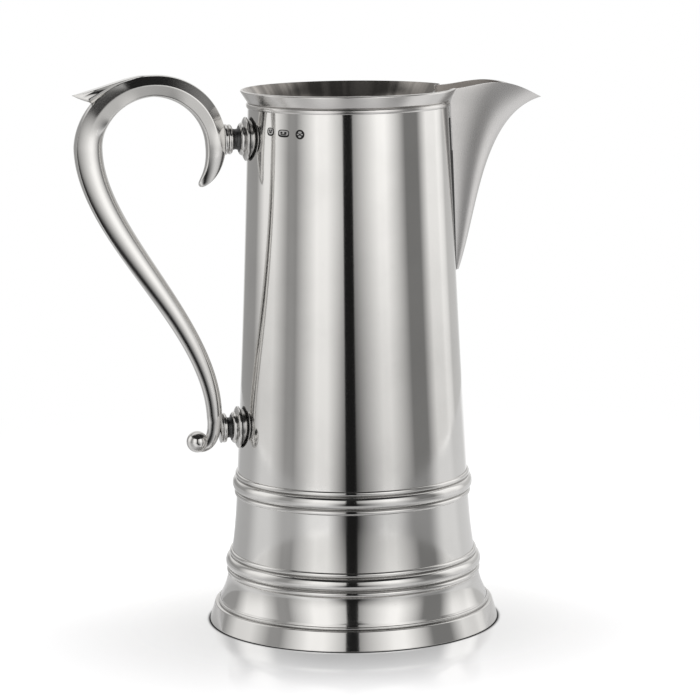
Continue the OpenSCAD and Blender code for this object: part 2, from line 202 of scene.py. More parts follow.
class Bench:
    """Tools that the pieces are made with."""

    SMOOTH_ANGLE = 32.0
    LEAST_BEND = 0.03
    BEND_RANGE = 0.22

    @staticmethod
    def clear() -> None:
        """Leaves edit mode and selects nothing."""
        if bpy.context.object and bpy.context.object.mode != "OBJECT":
            bpy.ops.object.mode_set(mode="OBJECT")
        bpy.ops.object.select_all(action="DESELECT")

    @staticmethod
    def pick(*pieces: bpy.types.Object) -> None:
        """Selects some pieces and nothing else, and makes the first one active.

        Args:
            *pieces: the pieces.
        """
        Bench.clear()
        for piece in pieces:
            piece.select_set(True)
        bpy.context.view_layer.objects.active = pieces[0]

    @staticmethod
    def named(name: str) -> bpy.types.Object:
        """Names the object that was just added.

        Args:
            name: its name.

        Returns:
            The object.
        """
        obj = bpy.context.object
        obj.name = obj.data.name = name
        return obj

    @staticmethod
    def loop(name: str, points: Sequence[Vector]) -> bpy.types.Object:
        """Draws a closed loop of edges, and stays in edit mode with all of it selected.

        Args:
            name: name of the new object.
            points: corners of the loop, in metres.

        Returns:
            The new object.
        """
        Bench.clear()
        bpy.ops.mesh.primitive_plane_add(size=MM)
        obj = Bench.named(name)
        bpy.ops.object.mode_set(mode="EDIT")
        bpy.ops.mesh.merge(type="CENTER")
        bpy.ops.transform.translate(value=points[0])
        for a, b in zip(points, [*points[1:], points[0]]):
            bpy.ops.mesh.extrude_vertices_move(TRANSFORM_OT_translate={"value": b - a})
        Bench.weld()
        return obj

    @staticmethod
    def weld() -> None:
        """Merges doubles in edit mode and leaves everything selected."""
        bpy.ops.mesh.select_all(action="SELECT")
        bpy.ops.mesh.remove_doubles(threshold=WELD)
        bpy.ops.mesh.select_all(action="SELECT")

    @staticmethod
    def face_outwards() -> None:
        """Turns all faces outwards in edit mode, and goes back to object mode."""
        bpy.ops.mesh.select_all(action="SELECT")
        bpy.ops.mesh.normals_make_consistent(inside=False)
        Bench.clear()

    @staticmethod
    def turn(name: str, outline: Outline, spindle: Spindle, steps: int,
             sweep: float = 360.0) -> bpy.types.Object:
        """Turns a piece from a closed outline.

        Args:
            name: name of the new object.
            outline: closed outline of the piece.
            spindle: axis that it is turned about.
            steps: number of faces round the piece.
            sweep: angle that the piece takes up.

        Returns:
            The new object, in object mode.
        """
        obj = Bench.loop(name, [spindle.place(r, h) for r, h in outline.points])
        bpy.ops.mesh.spin(steps=steps, angle=math.radians(sweep), center=spindle.centre, axis=spindle.axis)
        Bench.weld()
        if sweep < 360.0:
            bpy.ops.mesh.fill_holes(sides=0)
        Bench.face_outwards()
        return obj

    @staticmethod
    def sweep(name: str, section: Sequence[Point], stations: Sequence[Station]) -> bpy.types.Object:
        """Draws a bar out of its section, station by station.

        Args:
            name: name of the new object.
            section: closed section, as shares of the depth towards the back and across.
            stations: places of the section along the bar.

        Returns:
            The new object, in object mode.
        """
        first = stations[0]
        back = Vector((math.cos(first.heading), 0, math.sin(first.heading))) * first.depth
        across = Vector((0, first.depth, 0))
        obj = Bench.loop(name, [first.middle + back * b + across * a for b, a in section])
        bpy.ops.mesh.edge_face_add()
        for last, here in zip(stations, stations[1:]):
            bpy.ops.mesh.extrude_region_move(TRANSFORM_OT_translate={"value": here.middle - last.middle})
            bpy.ops.transform.rotate(value=here.heading - last.heading, orient_axis="Y",
                                     center_override=here.middle)
            bpy.ops.transform.resize(value=(here.depth / last.depth,) * 3, center_override=here.middle)
        Bench.weld()
        Bench.face_outwards()
        return obj

    @staticmethod
    def rod(name: str, path: Sequence[Vector], radii: Sequence[float], sides: int = 12) -> bpy.types.Object:
        """Draws a round rod that runs up the outside of the body.

        Args:
            name: name of the new object.
            path: middle line of the rod, in metres.
            radii: its radius at each point of the line, in metres.
            sides: number of faces round it.

        Returns:
            The new object, in object mode.
        """
        Bench.clear()
        last = len(path) - 1
        bpy.ops.mesh.primitive_grid_add(x_subdivisions=sides, y_subdivisions=last, size=2)
        obj = Bench.named(name)
        for vertex in obj.data.vertices:
            i, turn = round((vertex.co.y + 1) / 2 * last), math.pi * vertex.co.x
            ahead = (path[min(i + 1, last)] - path[max(i - 1, 0)]).normalized()
            across = ahead.cross(path[i].xy.to_3d()).normalized()
            out = across.cross(ahead)
            vertex.co = path[i] + (out * math.cos(turn) + across * math.sin(turn)) * radii[i]
        bpy.ops.object.mode_set(mode="EDIT")
        Bench.weld()
        bpy.ops.mesh.fill_holes(sides=0)
        Bench.face_outwards()
        return obj

    @staticmethod
    def modify(obj: bpy.types.Object, kind: str, **settings: object) -> None:
        """Adds a modifier and applies it.

        Args:
            obj: object that is changed.
            kind: type of the modifier.
            **settings: its settings by name.
        """
        Bench.pick(obj)
        modifier = obj.modifiers.new(kind.title(), kind)
        for name, value in settings.items():
            setattr(modifier, name, value)
        bpy.ops.object.modifier_apply(modifier=modifier.name)
        Bench.clear()

    @staticmethod
    def cut(obj: bpy.types.Object, cutter: bpy.types.Object) -> None:
        """Takes the shape of a cutter out of a piece, and removes the cutter."""
        Bench.modify(obj, "BOOLEAN", operation="DIFFERENCE", solver="EXACT", object=cutter)
        bpy.data.objects.remove(cutter)

    @staticmethod
    def smooth(obj: bpy.types.Object, angle: float = SMOOTH_ANGLE) -> None:
        """Shades a piece smooth, apart from its sharp edges.

        Args:
            obj: the piece.
            angle: least angle of a sharp edge.
        """
        Bench.pick(obj)
        bpy.ops.object.shade_smooth_by_angle(angle=math.radians(angle))
        Bench.clear()

    @staticmethod
    def mark_wear(obj: bpy.types.Object) -> None:
        """Stores where a piece is hollow and where it stands out, for its finish.

        The attribute hollow is high in grooves, and crest is high on edges that hands and cloths reach.

        Args:
            obj: the piece.
        """
        shape = bmesh.new()
        shape.from_mesh(obj.data)
        bends = []
        for vertex in shape.verts:
            rises = [(e.other_vert(vertex).co - vertex.co).normalized().dot(vertex.normal)
                     for e in vertex.link_edges]
            bends.append(sum(rises) / max(len(rises), 1))
        shape.free()
        for name, sign in (("hollow", 1.0), ("crest", -1.0)):
            attribute = obj.data.attributes.new(name, "FLOAT", "POINT")
            values = [(sign * bend - Bench.LEAST_BEND) / Bench.BEND_RANGE for bend in bends]
            attribute.data.foreach_set("value", [min(max(value, 0.0), 1.0) for value in values])


class Ramp(Enum):
    """Way that a step in a node tree rises."""

    SOFT = "SMOOTHSTEP"
    EVEN = "LINEAR"


class Wire:
    """A value in a node tree that takes part in Python expressions."""

    def __init__(self, sheet: "NodeSheet", socket: bpy.types.NodeSocket) -> None:
        """Wraps an output socket of a node tree."""
        self.sheet = sheet
        self.socket = socket

    def maths(self, operation: str, *others: "Wire | float", swapped: bool = False) -> "Wire":
        """Adds a Math node.

        Args:
            operation: what the node does.
            *others: the further operands.
            swapped: whether the first operand comes last.

        Returns:
            The result.
        """
        operands = [self, *others]
        if swapped:
            operands.reverse()
        node = self.sheet.node("ShaderNodeMath", {"operation": operation}, dict(enumerate(operands)))
        return Wire(self.sheet, node.outputs[0])

    def __add__(self, other: "Wire | float") -> "Wire":
        """Returns the sum."""
        return self.maths("ADD", other)

    def __sub__(self, other: "Wire | float") -> "Wire":
        """Returns the difference."""
        return self.maths("SUBTRACT", other)

    def __rsub__(self, other: "Wire | float") -> "Wire":
        """Returns the difference from a number."""
        return self.maths("SUBTRACT", other, swapped=True)

    def __mul__(self, other: "Wire | float") -> "Wire":
        """Returns the product."""
        return self.maths("MULTIPLY", other)

    def __abs__(self) -> "Wire":
        """Returns the value without its sign."""
        return self.maths("ABSOLUTE")

    __radd__ = __add__
    __rmul__ = __mul__

    def step(self, low: float, high: float, ramp: Ramp = Ramp.SOFT) -> "Wire":
        """Returns a step from 0 at low to 1 at high."""
        node = self.sheet.node("ShaderNodeMapRange", {"interpolation_type": ramp.value},
                               {"Value": self, "From Min": low, "From Max": high})
        return Wire(self.sheet, node.outputs["Result"])


class NodeSheet:
    """A node tree that is drawn by code."""

    GRAIN = 0.55

    def __init__(self, tree: bpy.types.NodeTree) -> None:
        """Empties a node tree."""
        self.tree = tree
        tree.nodes.clear()

    def node(self, kind: str, settings: dict[str, object] | None = None,
             inputs: dict[str | int, object] | None = None) -> bpy.types.Node:
        """Adds a node.

        Args:
            kind: type of the node.
            settings: its settings, which are set first.
            inputs: values, wires or sockets by the input's name or number.

        Returns:
            The new node.
        """
        node = self.tree.nodes.new(kind)
        for name, value in (settings or {}).items():
            setattr(node, name, value)
        for name, value in (inputs or {}).items():
            source = value.socket if isinstance(value, Wire) else value
            if isinstance(source, bpy.types.NodeSocket):
                self.tree.links.new(source, node.inputs[name])
            else:
                node.inputs[name].default_value = source
        return node

    def wire(self, kind: str, output: str | int, settings: dict[str, object] | None = None,
             inputs: dict[str | int, object] | None = None) -> Wire:
        """Adds a node and returns one of its outputs as a wire."""
        return Wire(self, self.node(kind, settings, inputs).outputs[output])

    def noise(self, scale: float, detail: float, vector: Wire | None = None, w: Wire | None = None) -> Wire:
        """Adds a noise pattern.

        Args:
            scale: number of features in a metre, or in a unit of w.
            detail: number of finer layers.
            vector: where it is read, for a solid pattern.
            w: where it is read, for a pattern of lines.

        Returns:
            The pattern, from 0 to 1 and mostly near one half.
        """
        inputs = {"Scale": scale, "Detail": detail, "Roughness": self.GRAIN}
        inputs.update({"Vector": vector} if w is None else {"W": w})
        dimensions = "3D" if w is None else "1D"
        return self.wire("ShaderNodeTexNoise", 0, {"noise_dimensions": dimensions}, inputs)

    def blend(self, factor: Wire, low: object, high: object) -> Wire:
        """Mixes two colours.

        Args:
            factor: share of the second colour.
            low: first colour, as a colour or a wire.
            high: second colour, as a colour or a wire.

        Returns:
            The mixed colour.
        """
        node = self.node("ShaderNodeMix", {"data_type": "RGBA"}, {"Factor": factor})
        for name, value in (("A", low), ("B", high)):
            socket = next(s for s in node.inputs if s.name == name and s.type == "RGBA")
            if isinstance(value, Wire):
                self.tree.links.new(value.socket, socket)
            else:
                socket.default_value = (*value, 1.0)
        return Wire(self, next(s for s in node.outputs if s.type == "RGBA"))

    def split(self, vector: Wire) -> list[Wire]:
        """Returns the three parts of a vector."""
        node = self.node("ShaderNodeSeparateXYZ", None, {"Vector": vector})
        return [Wire(self, output) for output in node.outputs]

    def attribute(self, name: str) -> Wire:
        """Returns a value that is stored on the mesh."""
        return self.wire("ShaderNodeAttribute", "Fac", {"attribute_name": name})

    def mix(self, factor: Wire, first: bpy.types.Node, second: bpy.types.Node) -> bpy.types.Node:
        """Returns a node that mixes two shaders by the share of the second."""
        return self.node("ShaderNodeMixShader", None, {0: factor, 1: first.outputs[0], 2: second.outputs[0]})

    def glow(self, strength: Wire | float, tone: Sequence[float] = WHITE) -> bpy.types.Node:
        """Returns a node that gives light."""
        return self.node("ShaderNodeEmission", None, {"Color": tone, "Strength": strength})


class Polish(Enum):
    """Way that the polishing lines of a finish run."""

    ROUND_BODY = "round the axis of the body"
    ROUND_FIXING = "round the axis of a fixing"
    ALONG_BAR = "along the bar of the handle"
    DOWN_SHEET = "down the sheet of the spout"


@dataclass(frozen=True)
class Pewter:
    """Pewter finish, with polishing lines, rubbed patches and dull metal in the grooves.

    A scale counts the features in a metre, or in a radian for the streaks. The slot is the material slot of
    the record that the finish stands for.
    """

    name: str
    tint: Colour
    polish: Polish
    roughness: float
    patchiness: float = 0.05
    line_pitch: float = 0.35
    line_height: float = 0.0006
    dent_height: float = 0.012
    fixing_height: float = 0.0
    metallic: float = 1.0
    streaks: float = 0.0
    slot: str = "polished_pewter"
    patch_scale: float = 28.0
    dent_scale: float = 9.0
    speck_scale: float = 900.0
    streak_scale: float = 4.5
    sheet_slant: float = 0.35
    face_share: float = 0.8
    patch_dulling: float = 0.35
    crest_brightening: float = 0.6
    groove_dulling: float = 0.7
    speck_dulling: float = 0.10
    line_roughness: float = 0.02
    groove_roughness: float = 0.16
    speck_roughness: float = 0.05

    def tone(self, share: float) -> Colour:
        """Returns a darker or a brighter tone of the tint."""
        return tuple(min(1.0, share * c) for c in self.tint)

    def across_lines(self, sheet: NodeSheet, place: Wire) -> Wire:
        """Measures across the polishing lines, in millimetres.

        Args:
            sheet: node tree that is drawn.
            place: object coordinates.

        Returns:
            The distance across the lines.
        """
        if self.polish is Polish.ALONG_BAR:
            return sheet.attribute("girth")
        x, y, z = sheet.split(place)
        if self.polish is Polish.DOWN_SHEET:
            return (y + x * self.sheet_slant) * (1 / MM)
        if self.polish is Polish.ROUND_FIXING:
            rise = z - self.fixing_height * MM
            return (x + (y * y + rise * rise).maths("SQRT") * self.face_share) * (1 / MM)
        return (z + (x * x + y * y).maths("SQRT") * self.face_share) * (1 / MM)

    def material(self) -> bpy.types.Material:
        """Makes the finish as a material.

        Returns:
            The new material.
        """
        material = bpy.data.materials.new(self.name)
        material.use_nodes = True
        sheet = NodeSheet(material.node_tree)
        place = sheet.wire("ShaderNodeTexCoord", "Object")
        hollow, crest = sheet.attribute("hollow"), sheet.attribute("crest")
        patches = sheet.noise(self.patch_scale, 4.0, place)
        dents = sheet.noise(self.dent_scale, 2.0, place)
        specks = sheet.noise(self.speck_scale, 2.0, place).step(0.66, 0.78)
        lines = sheet.noise(1 / self.line_pitch, 3.0, w=self.across_lines(sheet, place))

        dull, bright, oxide = (self.tone(share) for share in (0.80, 1.05, 0.34))
        colour = sheet.blend(patches.step(0.4, 0.75) * self.patch_dulling, self.tint, dull)
        colour = sheet.blend(crest * self.crest_brightening, colour, bright)
        colour = sheet.blend(hollow * self.groove_dulling + specks * self.speck_dulling, colour, oxide)
        if self.streaks:
            x, y, _ = sheet.split(place)
            streak = sheet.noise(self.streak_scale, 2.0, w=y.maths("ARCTAN2", x)).step(0.38, 0.6)
            colour = sheet.blend(streak * self.streaks, colour, oxide)

        rough = self.roughness + (dents - 0.5) * self.patchiness * 2.0
        rough = rough + (patches - 0.5) * self.patchiness + lines.step(0.42, 0.72) * self.line_roughness
        rough = rough + hollow * self.groove_roughness + specks * self.speck_roughness
        height = (lines - 0.5) * self.line_height + (dents - 0.5) * self.dent_height
        bump = sheet.wire("ShaderNodeBump", "Normal", None,
                          {"Strength": 1.0, "Distance": MM, "Height": height})
        shader = sheet.node("ShaderNodeBsdfPrincipled", None, {
            "Base Color": colour, "Metallic": self.metallic, "Roughness": rough, "Normal": bump})
        sheet.node("ShaderNodeOutputMaterial", None, {"Surface": shader.outputs[0]})
        return material


POLISHED = Pewter("polished_pewter", (0.71, 0.70, 0.685), Polish.ROUND_BODY, 0.075, patchiness=0.03)
RIM = Pewter("rim_pewter", (0.71, 0.695, 0.68), Polish.ROUND_BODY, 0.2)
INSIDE = Pewter("inside_pewter", (0.58, 0.545, 0.51), Polish.ROUND_BODY, 0.2, metallic=0.82, streaks=0.7)
SPOUT_OUTSIDE = Pewter("spout_pewter", (0.71, 0.695, 0.685), Polish.DOWN_SHEET, 0.25, slot="satin_pewter")
SPOUT_INSIDE = Pewter("spout_inside_pewter", (0.50, 0.465, 0.435), Polish.DOWN_SHEET, 0.34, metallic=0.85)
BAR = Pewter("handle_pewter", (0.71, 0.70, 0.685), Polish.ALONG_BAR, 0.12, line_pitch=0.5)
FLOOR_METAL = Pewter("floor_pewter", (0.50, 0.49, 0.47), Polish.ROUND_BODY, 0.28, patchiness=0.08)
# Near-black painted shade for the necks of the fixings, the backs of the rosettes against the drum and the
# low corner of the spout's seams; it stands in for shadow and dark reflection.
PAINTED_SHADE = Pewter("painted_shade_pewter", (0.10, 0.10, 0.10), Polish.ROUND_BODY, 0.40)
# Near-black for the sunk parts of the punch marks: painted shade of the recesses, with some dark oxide in
# them.
RECESS_SHADE = Pewter("mark_recess_shade", (0.03, 0.03, 0.03), Polish.ROUND_BODY, 0.45)
WORN_INK = Pewter("mark_relief", (0.52, 0.515, 0.51), Polish.ROUND_BODY, 0.3)
SOLDER = Pewter("solder", (0.66, 0.655, 0.65), Polish.DOWN_SHEET, 0.24, patchiness=0.08, slot="satin_pewter")


class FinishShop:
    """Materials that have been made, by the name of their finish."""

    def __init__(self) -> None:
        """Starts with no material."""
        self.made: dict[str, bpy.types.Material] = {}

    def get(self, finish: Pewter) -> bpy.types.Material:
        """Finds the material of a finish, or makes it at its first use.

        Args:
            finish: the finish.

        Returns:
            Its material.
        """
        if finish.name not in self.made:
            self.made[finish.name] = finish.material()
        return self.made[finish.name]


SHOP = FinishShop()


def dress(obj: bpy.types.Object, finish: Pewter, inside: Pewter | None = None,
          is_inside: Callable[[bpy.types.MeshPolygon], bool] | None = None) -> None:
    """Gives a piece its finish.

    Args:
        obj: the piece.
        finish: finish of the piece.
        inside: finish of its inside, where that differs.
        is_inside: says whether a face belongs to the inside.
    """
    obj.data.materials.clear()
    obj.data.materials.append(SHOP.get(finish))
    if inside and is_inside:
        obj.data.materials.append(SHOP.get(inside))
        for face in obj.data.polygons:
            face.material_index = int(is_inside(face))


def hand_over(obj: bpy.types.Object, finish: Pewter, *nodes: str) -> None:
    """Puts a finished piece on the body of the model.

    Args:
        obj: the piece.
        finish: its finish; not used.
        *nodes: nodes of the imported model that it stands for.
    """
    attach(obj, BODY)
    if nodes:
        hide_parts(*nodes)
    log.info("%s: %d faces, stands for %s", obj.name, len(obj.data.polygons), ", ".join(nodes) or "nothing")


def complete(obj: bpy.types.Object, node: str, finish: Pewter, inside: Pewter | None = None,
             is_inside: Callable[[bpy.types.MeshPolygon], bool] | None = None, worn: bool = True,
             angle: float = Bench.SMOOTH_ANGLE) -> None:
    """Shades and dresses a piece and hands it over.

    Args:
        obj: the piece.
        node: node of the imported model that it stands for.
        finish: finish of the piece.
        inside: finish of its inside, where that differs.
        is_inside: says whether a face belongs to the inside.
        worn: whether its grooves and edges show in the finish.
        angle: least angle of a sharp edge.
    """
    Bench.smooth(obj, angle)
    if worn:
        Bench.mark_wear(obj)
    dress(obj, finish, inside, is_inside)
    hand_over(obj, finish, node)


def keep_node(name: str, finish: Pewter) -> None:
    """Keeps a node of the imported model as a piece, and gives it its finish."""
    dress(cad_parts[name], finish)
    log.info("%s: kept from the packed model", name)


def faces_axis(face: bpy.types.MeshPolygon) -> bool:
    """Says whether a face looks towards the axis of the body."""
    return face.normal.x * face.center.x + face.normal.y * face.center.y < -0.25 * face.center.xy.length


@dataclass(frozen=True)
class DrumForm:
    """Shape of the wall of the drum, which other parts are fitted to."""

    lip_height: float = 224.0
    top_height: float = 216.6
    bottom_height: float = 59.0
    top_radius: float = 41.65
    bottom_radius: float = 48.6
    hollow: float = 0.45
    wall: float = 1.6

    def radius(self, height: float) -> float:
        """Works out how wide the drum is.

        Args:
            height: height above the table.

        Returns:
            The outside radius at that height.
        """
        share = (self.top_height - height) / (self.top_height - self.bottom_height)
        drawn_in = 4 * self.hollow * share * (1 - share)
        return lerp(self.top_radius, self.bottom_radius, share) - drawn_in


DRUM = DrumForm()


@dataclass
class Vessel:
    """Drum, waist, foot, bands and rim of the flagon."""

    drum: DrumForm = DRUM
    lower_band: float = 25.8
    band_height: float = 9.8
    band_relief: float = 1.9
    waist_flare_radius: float = 51.1
    spigot_rise: float = 2.0
    spigot_wall: float = 1.4
    spigot_play: float = 0.5
    floor_drop: float = 1.0
    cove_power: float = 1.7
    foot_neck_radius: float = 52.7
    foot_neck_step: float = 0.4
    foot_radius: float = 61.0
    foot_edge: float = 0.35
    foot_seat_radius: float = 56.5
    foot_ring_height: float = 10.0
    foot_face_height: float = 8.0
    foot_ledge_height: float = 2.6
    foot_ledge_width: float = 2.2
    rim_flare: float = 3.0
    rim_edge: float = 0.6
    rim_step: float = 0.1
    rim_bead_rise: float = 0.55
    rim_spigot: float = 6.0
    rim_spigot_wall: float = 1.0
    rim_gap_angle: float = 18.2
    cut_half_width: float = 10.3
    cut_end_half_width: float = 1.5
    cut_bottom: float = 165.5
    turning_steps: int = 256
    drum_steps: int = 288
    rim_steps: int = 260
    marks: Sequence["Punch"] = ()

    @property
    def upper_band(self) -> float:
        """Returns the height of the middle of the upper band, where drum and waist meet."""
        return self.drum.bottom_height

    @property
    def waist_seat(self) -> float:
        """Returns the outside radius where waist and foot wall meet."""
        return lerp(self.foot_neck_radius, self.waist_flare_radius, 0.5)

    def band_wall(self, middle: float) -> Point:
        """Finds the wall that a band lies on.

        Args:
            middle: height of the middle of the band.

        Returns:
            The radii of the wall at the bottom and at the top of the band.
        """
        if middle == self.lower_band:
            return self.foot_neck_radius, self.waist_flare_radius
        half = self.band_height / 2
        return self.drum.radius(middle - half), self.drum.radius(middle + half)

    def make_cutter(self) -> bpy.types.Object:
        """Makes the wedge that opens the drum behind the spout.

        Returns:
            The wedge.
        """
        low, high, top = self.cut_end_half_width, self.cut_half_width, self.drum.top_height + 1
        corners = ((-low, self.cut_bottom), (low, self.cut_bottom), (high, top), (-high, top))
        obj = Bench.loop("cutter", [Vector((self.drum.top_radius / 2, y, z)) * MM for y, z in corners])
        depth = (self.drum.bottom_radius * MM, 0, 0)
        bpy.ops.mesh.edge_face_add()
        bpy.ops.mesh.extrude_region_move(TRANSFORM_OT_translate={"value": depth})
        Bench.weld()
        Bench.face_outwards()
        return obj

    def make_drum(self) -> None:
        """Turns the drum and cuts it open behind the spout."""
        form = self.drum
        heights = spread(self.upper_band, form.top_height, 36)
        outline = Outline(form.radius(self.upper_band), self.upper_band)
        outline.to(*[(form.radius(z), z) for z in heights[1:]])
        outline.to(*[(form.radius(z) - form.wall, z) for z in reversed(heights)])
        obj = Bench.turn("drum_wall", outline, Spindle(), self.drum_steps)
        Bench.cut(obj, self.make_cutter())
        complete(obj, "body_drum", POLISHED, INSIDE, faces_axis, worn=False)

    def make_rim(self) -> None:
        """Turns the rim, which stops on both sides of the spout."""
        form, edge = self.drum, self.rim_edge
        top, base = form.lip_height, form.top_height
        r, bore = form.top_radius, form.top_radius - form.wall
        lip, seat = r + self.rim_flare, r + self.rim_step
        bead, foot = lerp(base, top, 0.28), base - self.rim_spigot
        low = form.radius(foot) - form.wall - FIT
        outline = Outline(low - self.rim_spigot_wall, foot)
        outline.to((low, foot), (bore - FIT, base), (seat, base))
        outline.half_round((seat, bead), self.rim_bead_rise)
        outline.to((r - 0.05, bead + 0.12), (seat, bead + 0.28))
        outline.curve((r + 0.4 * self.rim_flare, lerp(bead, top, 0.35)), (lip, top - edge), 18)
        outline.curve((lip, top), (lip - edge, top), 6)
        outline.to((lip - 1.0, top))
        outline.curve((bore + 0.35 * self.rim_flare, lerp(bead, top, 0.45)), (bore - 0.2, bead), 16)
        outline.to((bore - self.rim_spigot_wall, base))
        spindle = Spindle(start_angle=-self.rim_gap_angle)
        obj = Bench.turn("rim_lip", outline, spindle, self.rim_steps, sweep=360.0 - 2 * self.rim_gap_angle)
        complete(obj, "rim_moulding", RIM, INSIDE, faces_axis)

    def make_band(self, name: str, middle: float, node: str) -> None:
        """Turns a band: a roll between two beads.

        Args:
            name: name of the piece.
            middle: height of its middle.
            node: node that it stands for.
        """
        low, high = self.band_wall(middle)
        base = middle - self.band_height / 2

        def at(share: float, relief: float) -> Point:
            """Returns the point at a share of the height, with some relief."""
            return lerp(low, high, share) + relief * self.band_relief, base + share * self.band_height

        outline = Outline(*at(0, 0.02)).to(at(0, 0.16))
        outline.half_round(at(0.2, 0.2), 0.33 * self.band_relief)
        outline.to(at(0.225, 0.1), at(0.25, 0.2))
        outline.half_round(at(0.765, 0.2), 0.8 * self.band_relief, 28)
        outline.to(at(0.785, 0.1), at(0.805, 0.18))
        outline.half_round(at(1, 0.12), 0.33 * self.band_relief)
        outline.to(at(1, 0.02))
        complete(Bench.turn(name, outline, Spindle(), self.turning_steps), node, POLISHED)

    def make_waist(self) -> None:
        """Turns the flaring wall between the bands, with its spigot in the drum."""
        half, wall = self.band_height / 2, self.drum.wall
        bottom, top = self.lower_band + half, self.upper_band - half
        top_radius, joint = self.drum.radius(top), self.drum.radius(self.upper_band)
        bend = (lerp(top_radius, self.waist_flare_radius, 0.27), lerp(bottom, top, 0.44))
        curve = [(self.waist_flare_radius, bottom), bend, (top_radius, top)]
        outside = [bezier(curve, t) for t in spread(0, 1, 24)]
        crown = top + self.band_height + self.spigot_rise
        spigot = self.drum.radius(crown) - wall - FIT
        outline = Outline(self.waist_seat - wall, self.lower_band)
        outline.to((self.waist_seat, self.lower_band), *outside)
        outline.to((joint, self.upper_band), (joint - wall - FIT, self.upper_band))
        outline.to((spigot, crown), (spigot - self.spigot_wall, crown), (spigot - 1.0, top + 1.0))
        outline.to(*[(r - wall, z) for r, z in reversed(outside)])
        obj = Bench.turn("waist_wall", outline, Spindle(), self.turning_steps)
        complete(obj, "waist_drum", POLISHED, INSIDE, faces_axis, worn=False)

    def make_foot_wall(self) -> None:
        """Turns the coved wall of the foot, with the spigot that carries the floor."""
        wall, step, ledge = self.drum.wall, self.foot_neck_step, self.foot_ledge_height
        neck = self.lower_band - self.band_height / 2 - step
        floor_seat = self.lower_band + self.band_height / 2 - self.floor_drop
        cove = [(lerp(self.foot_neck_radius + step, self.foot_seat_radius, t ** self.cove_power),
                 lerp(neck, self.foot_ring_height, t)) for t in spread(0, 1, 24)]
        spigot = self.waist_seat - wall - self.spigot_play
        inner = spigot - self.spigot_wall
        outline = Outline(inner, floor_seat)
        outline.to((inner, neck + step), *[(r - wall, z) for r, z in cove])
        outline.to((self.foot_seat_radius - wall, ledge), (self.foot_seat_radius, ledge), *reversed(cove))
        outline.to((self.foot_neck_radius, neck + step), (self.waist_seat, self.lower_band))
        outline.to((spigot, self.lower_band), (spigot, floor_seat))
        obj = Bench.turn("foot_cove", outline, Spindle(), self.turning_steps)
        complete(obj, "foot_wall", POLISHED, INSIDE, faces_axis, worn=False)

    def make_foot_ring(self) -> None:
        """Turns the ring that the flagon stands on."""
        bore, top, step = self.foot_seat_radius + FIT, self.foot_ring_height, self.foot_face_height
        face, bead = lerp(bore, self.foot_radius, 0.483), lerp(bore, self.foot_radius, 0.1)
        inner, ledge, edge = bore - self.foot_ledge_width, self.foot_ledge_height, self.foot_edge
        outline = Outline(inner, 0.0).to((self.foot_radius - 0.3, 0.0))
        outline.curve((self.foot_radius, 0.0), (self.foot_radius, edge), 6)
        outline.to(*[(lerp(self.foot_radius, face + 0.1, t), lerp(edge, step - 0.4, t))
                     for t in (0.04, 0.1, 0.3, 0.6, 0.9, 0.96, 1.0)])
        outline.curve((face, step), (face - 0.4, step + 0.04), 5)
        outline.to((bead + 0.15, step + 0.12), (bead, step + 0.3))
        outline.half_round((bead, lerp(step, top, 0.7)), 0.3)
        outline.to((bead - 0.15, lerp(step, top, 0.75)), (bead - 0.2, lerp(step, top, 0.82)))
        outline.to((bore + 0.1, top), (bore, top), (bore, ledge), (inner, ledge))
        complete(Bench.turn("foot_rest_ring", outline, Spindle(), self.turning_steps), "foot_ring", POLISHED)

    def make(self) -> None:
        """Makes all pieces of the vessel."""
        self.make_drum()
        self.make_rim()
        self.make_band("upper_moulding", self.upper_band, "upper_band")
        self.make_band("lower_moulding", self.lower_band, "lower_band")
        self.make_waist()
        self.make_foot_wall()
        self.make_foot_ring()
        for mark in self.marks:
            mark.make()
        keep_node("floor_disc", FLOOR_METAL)


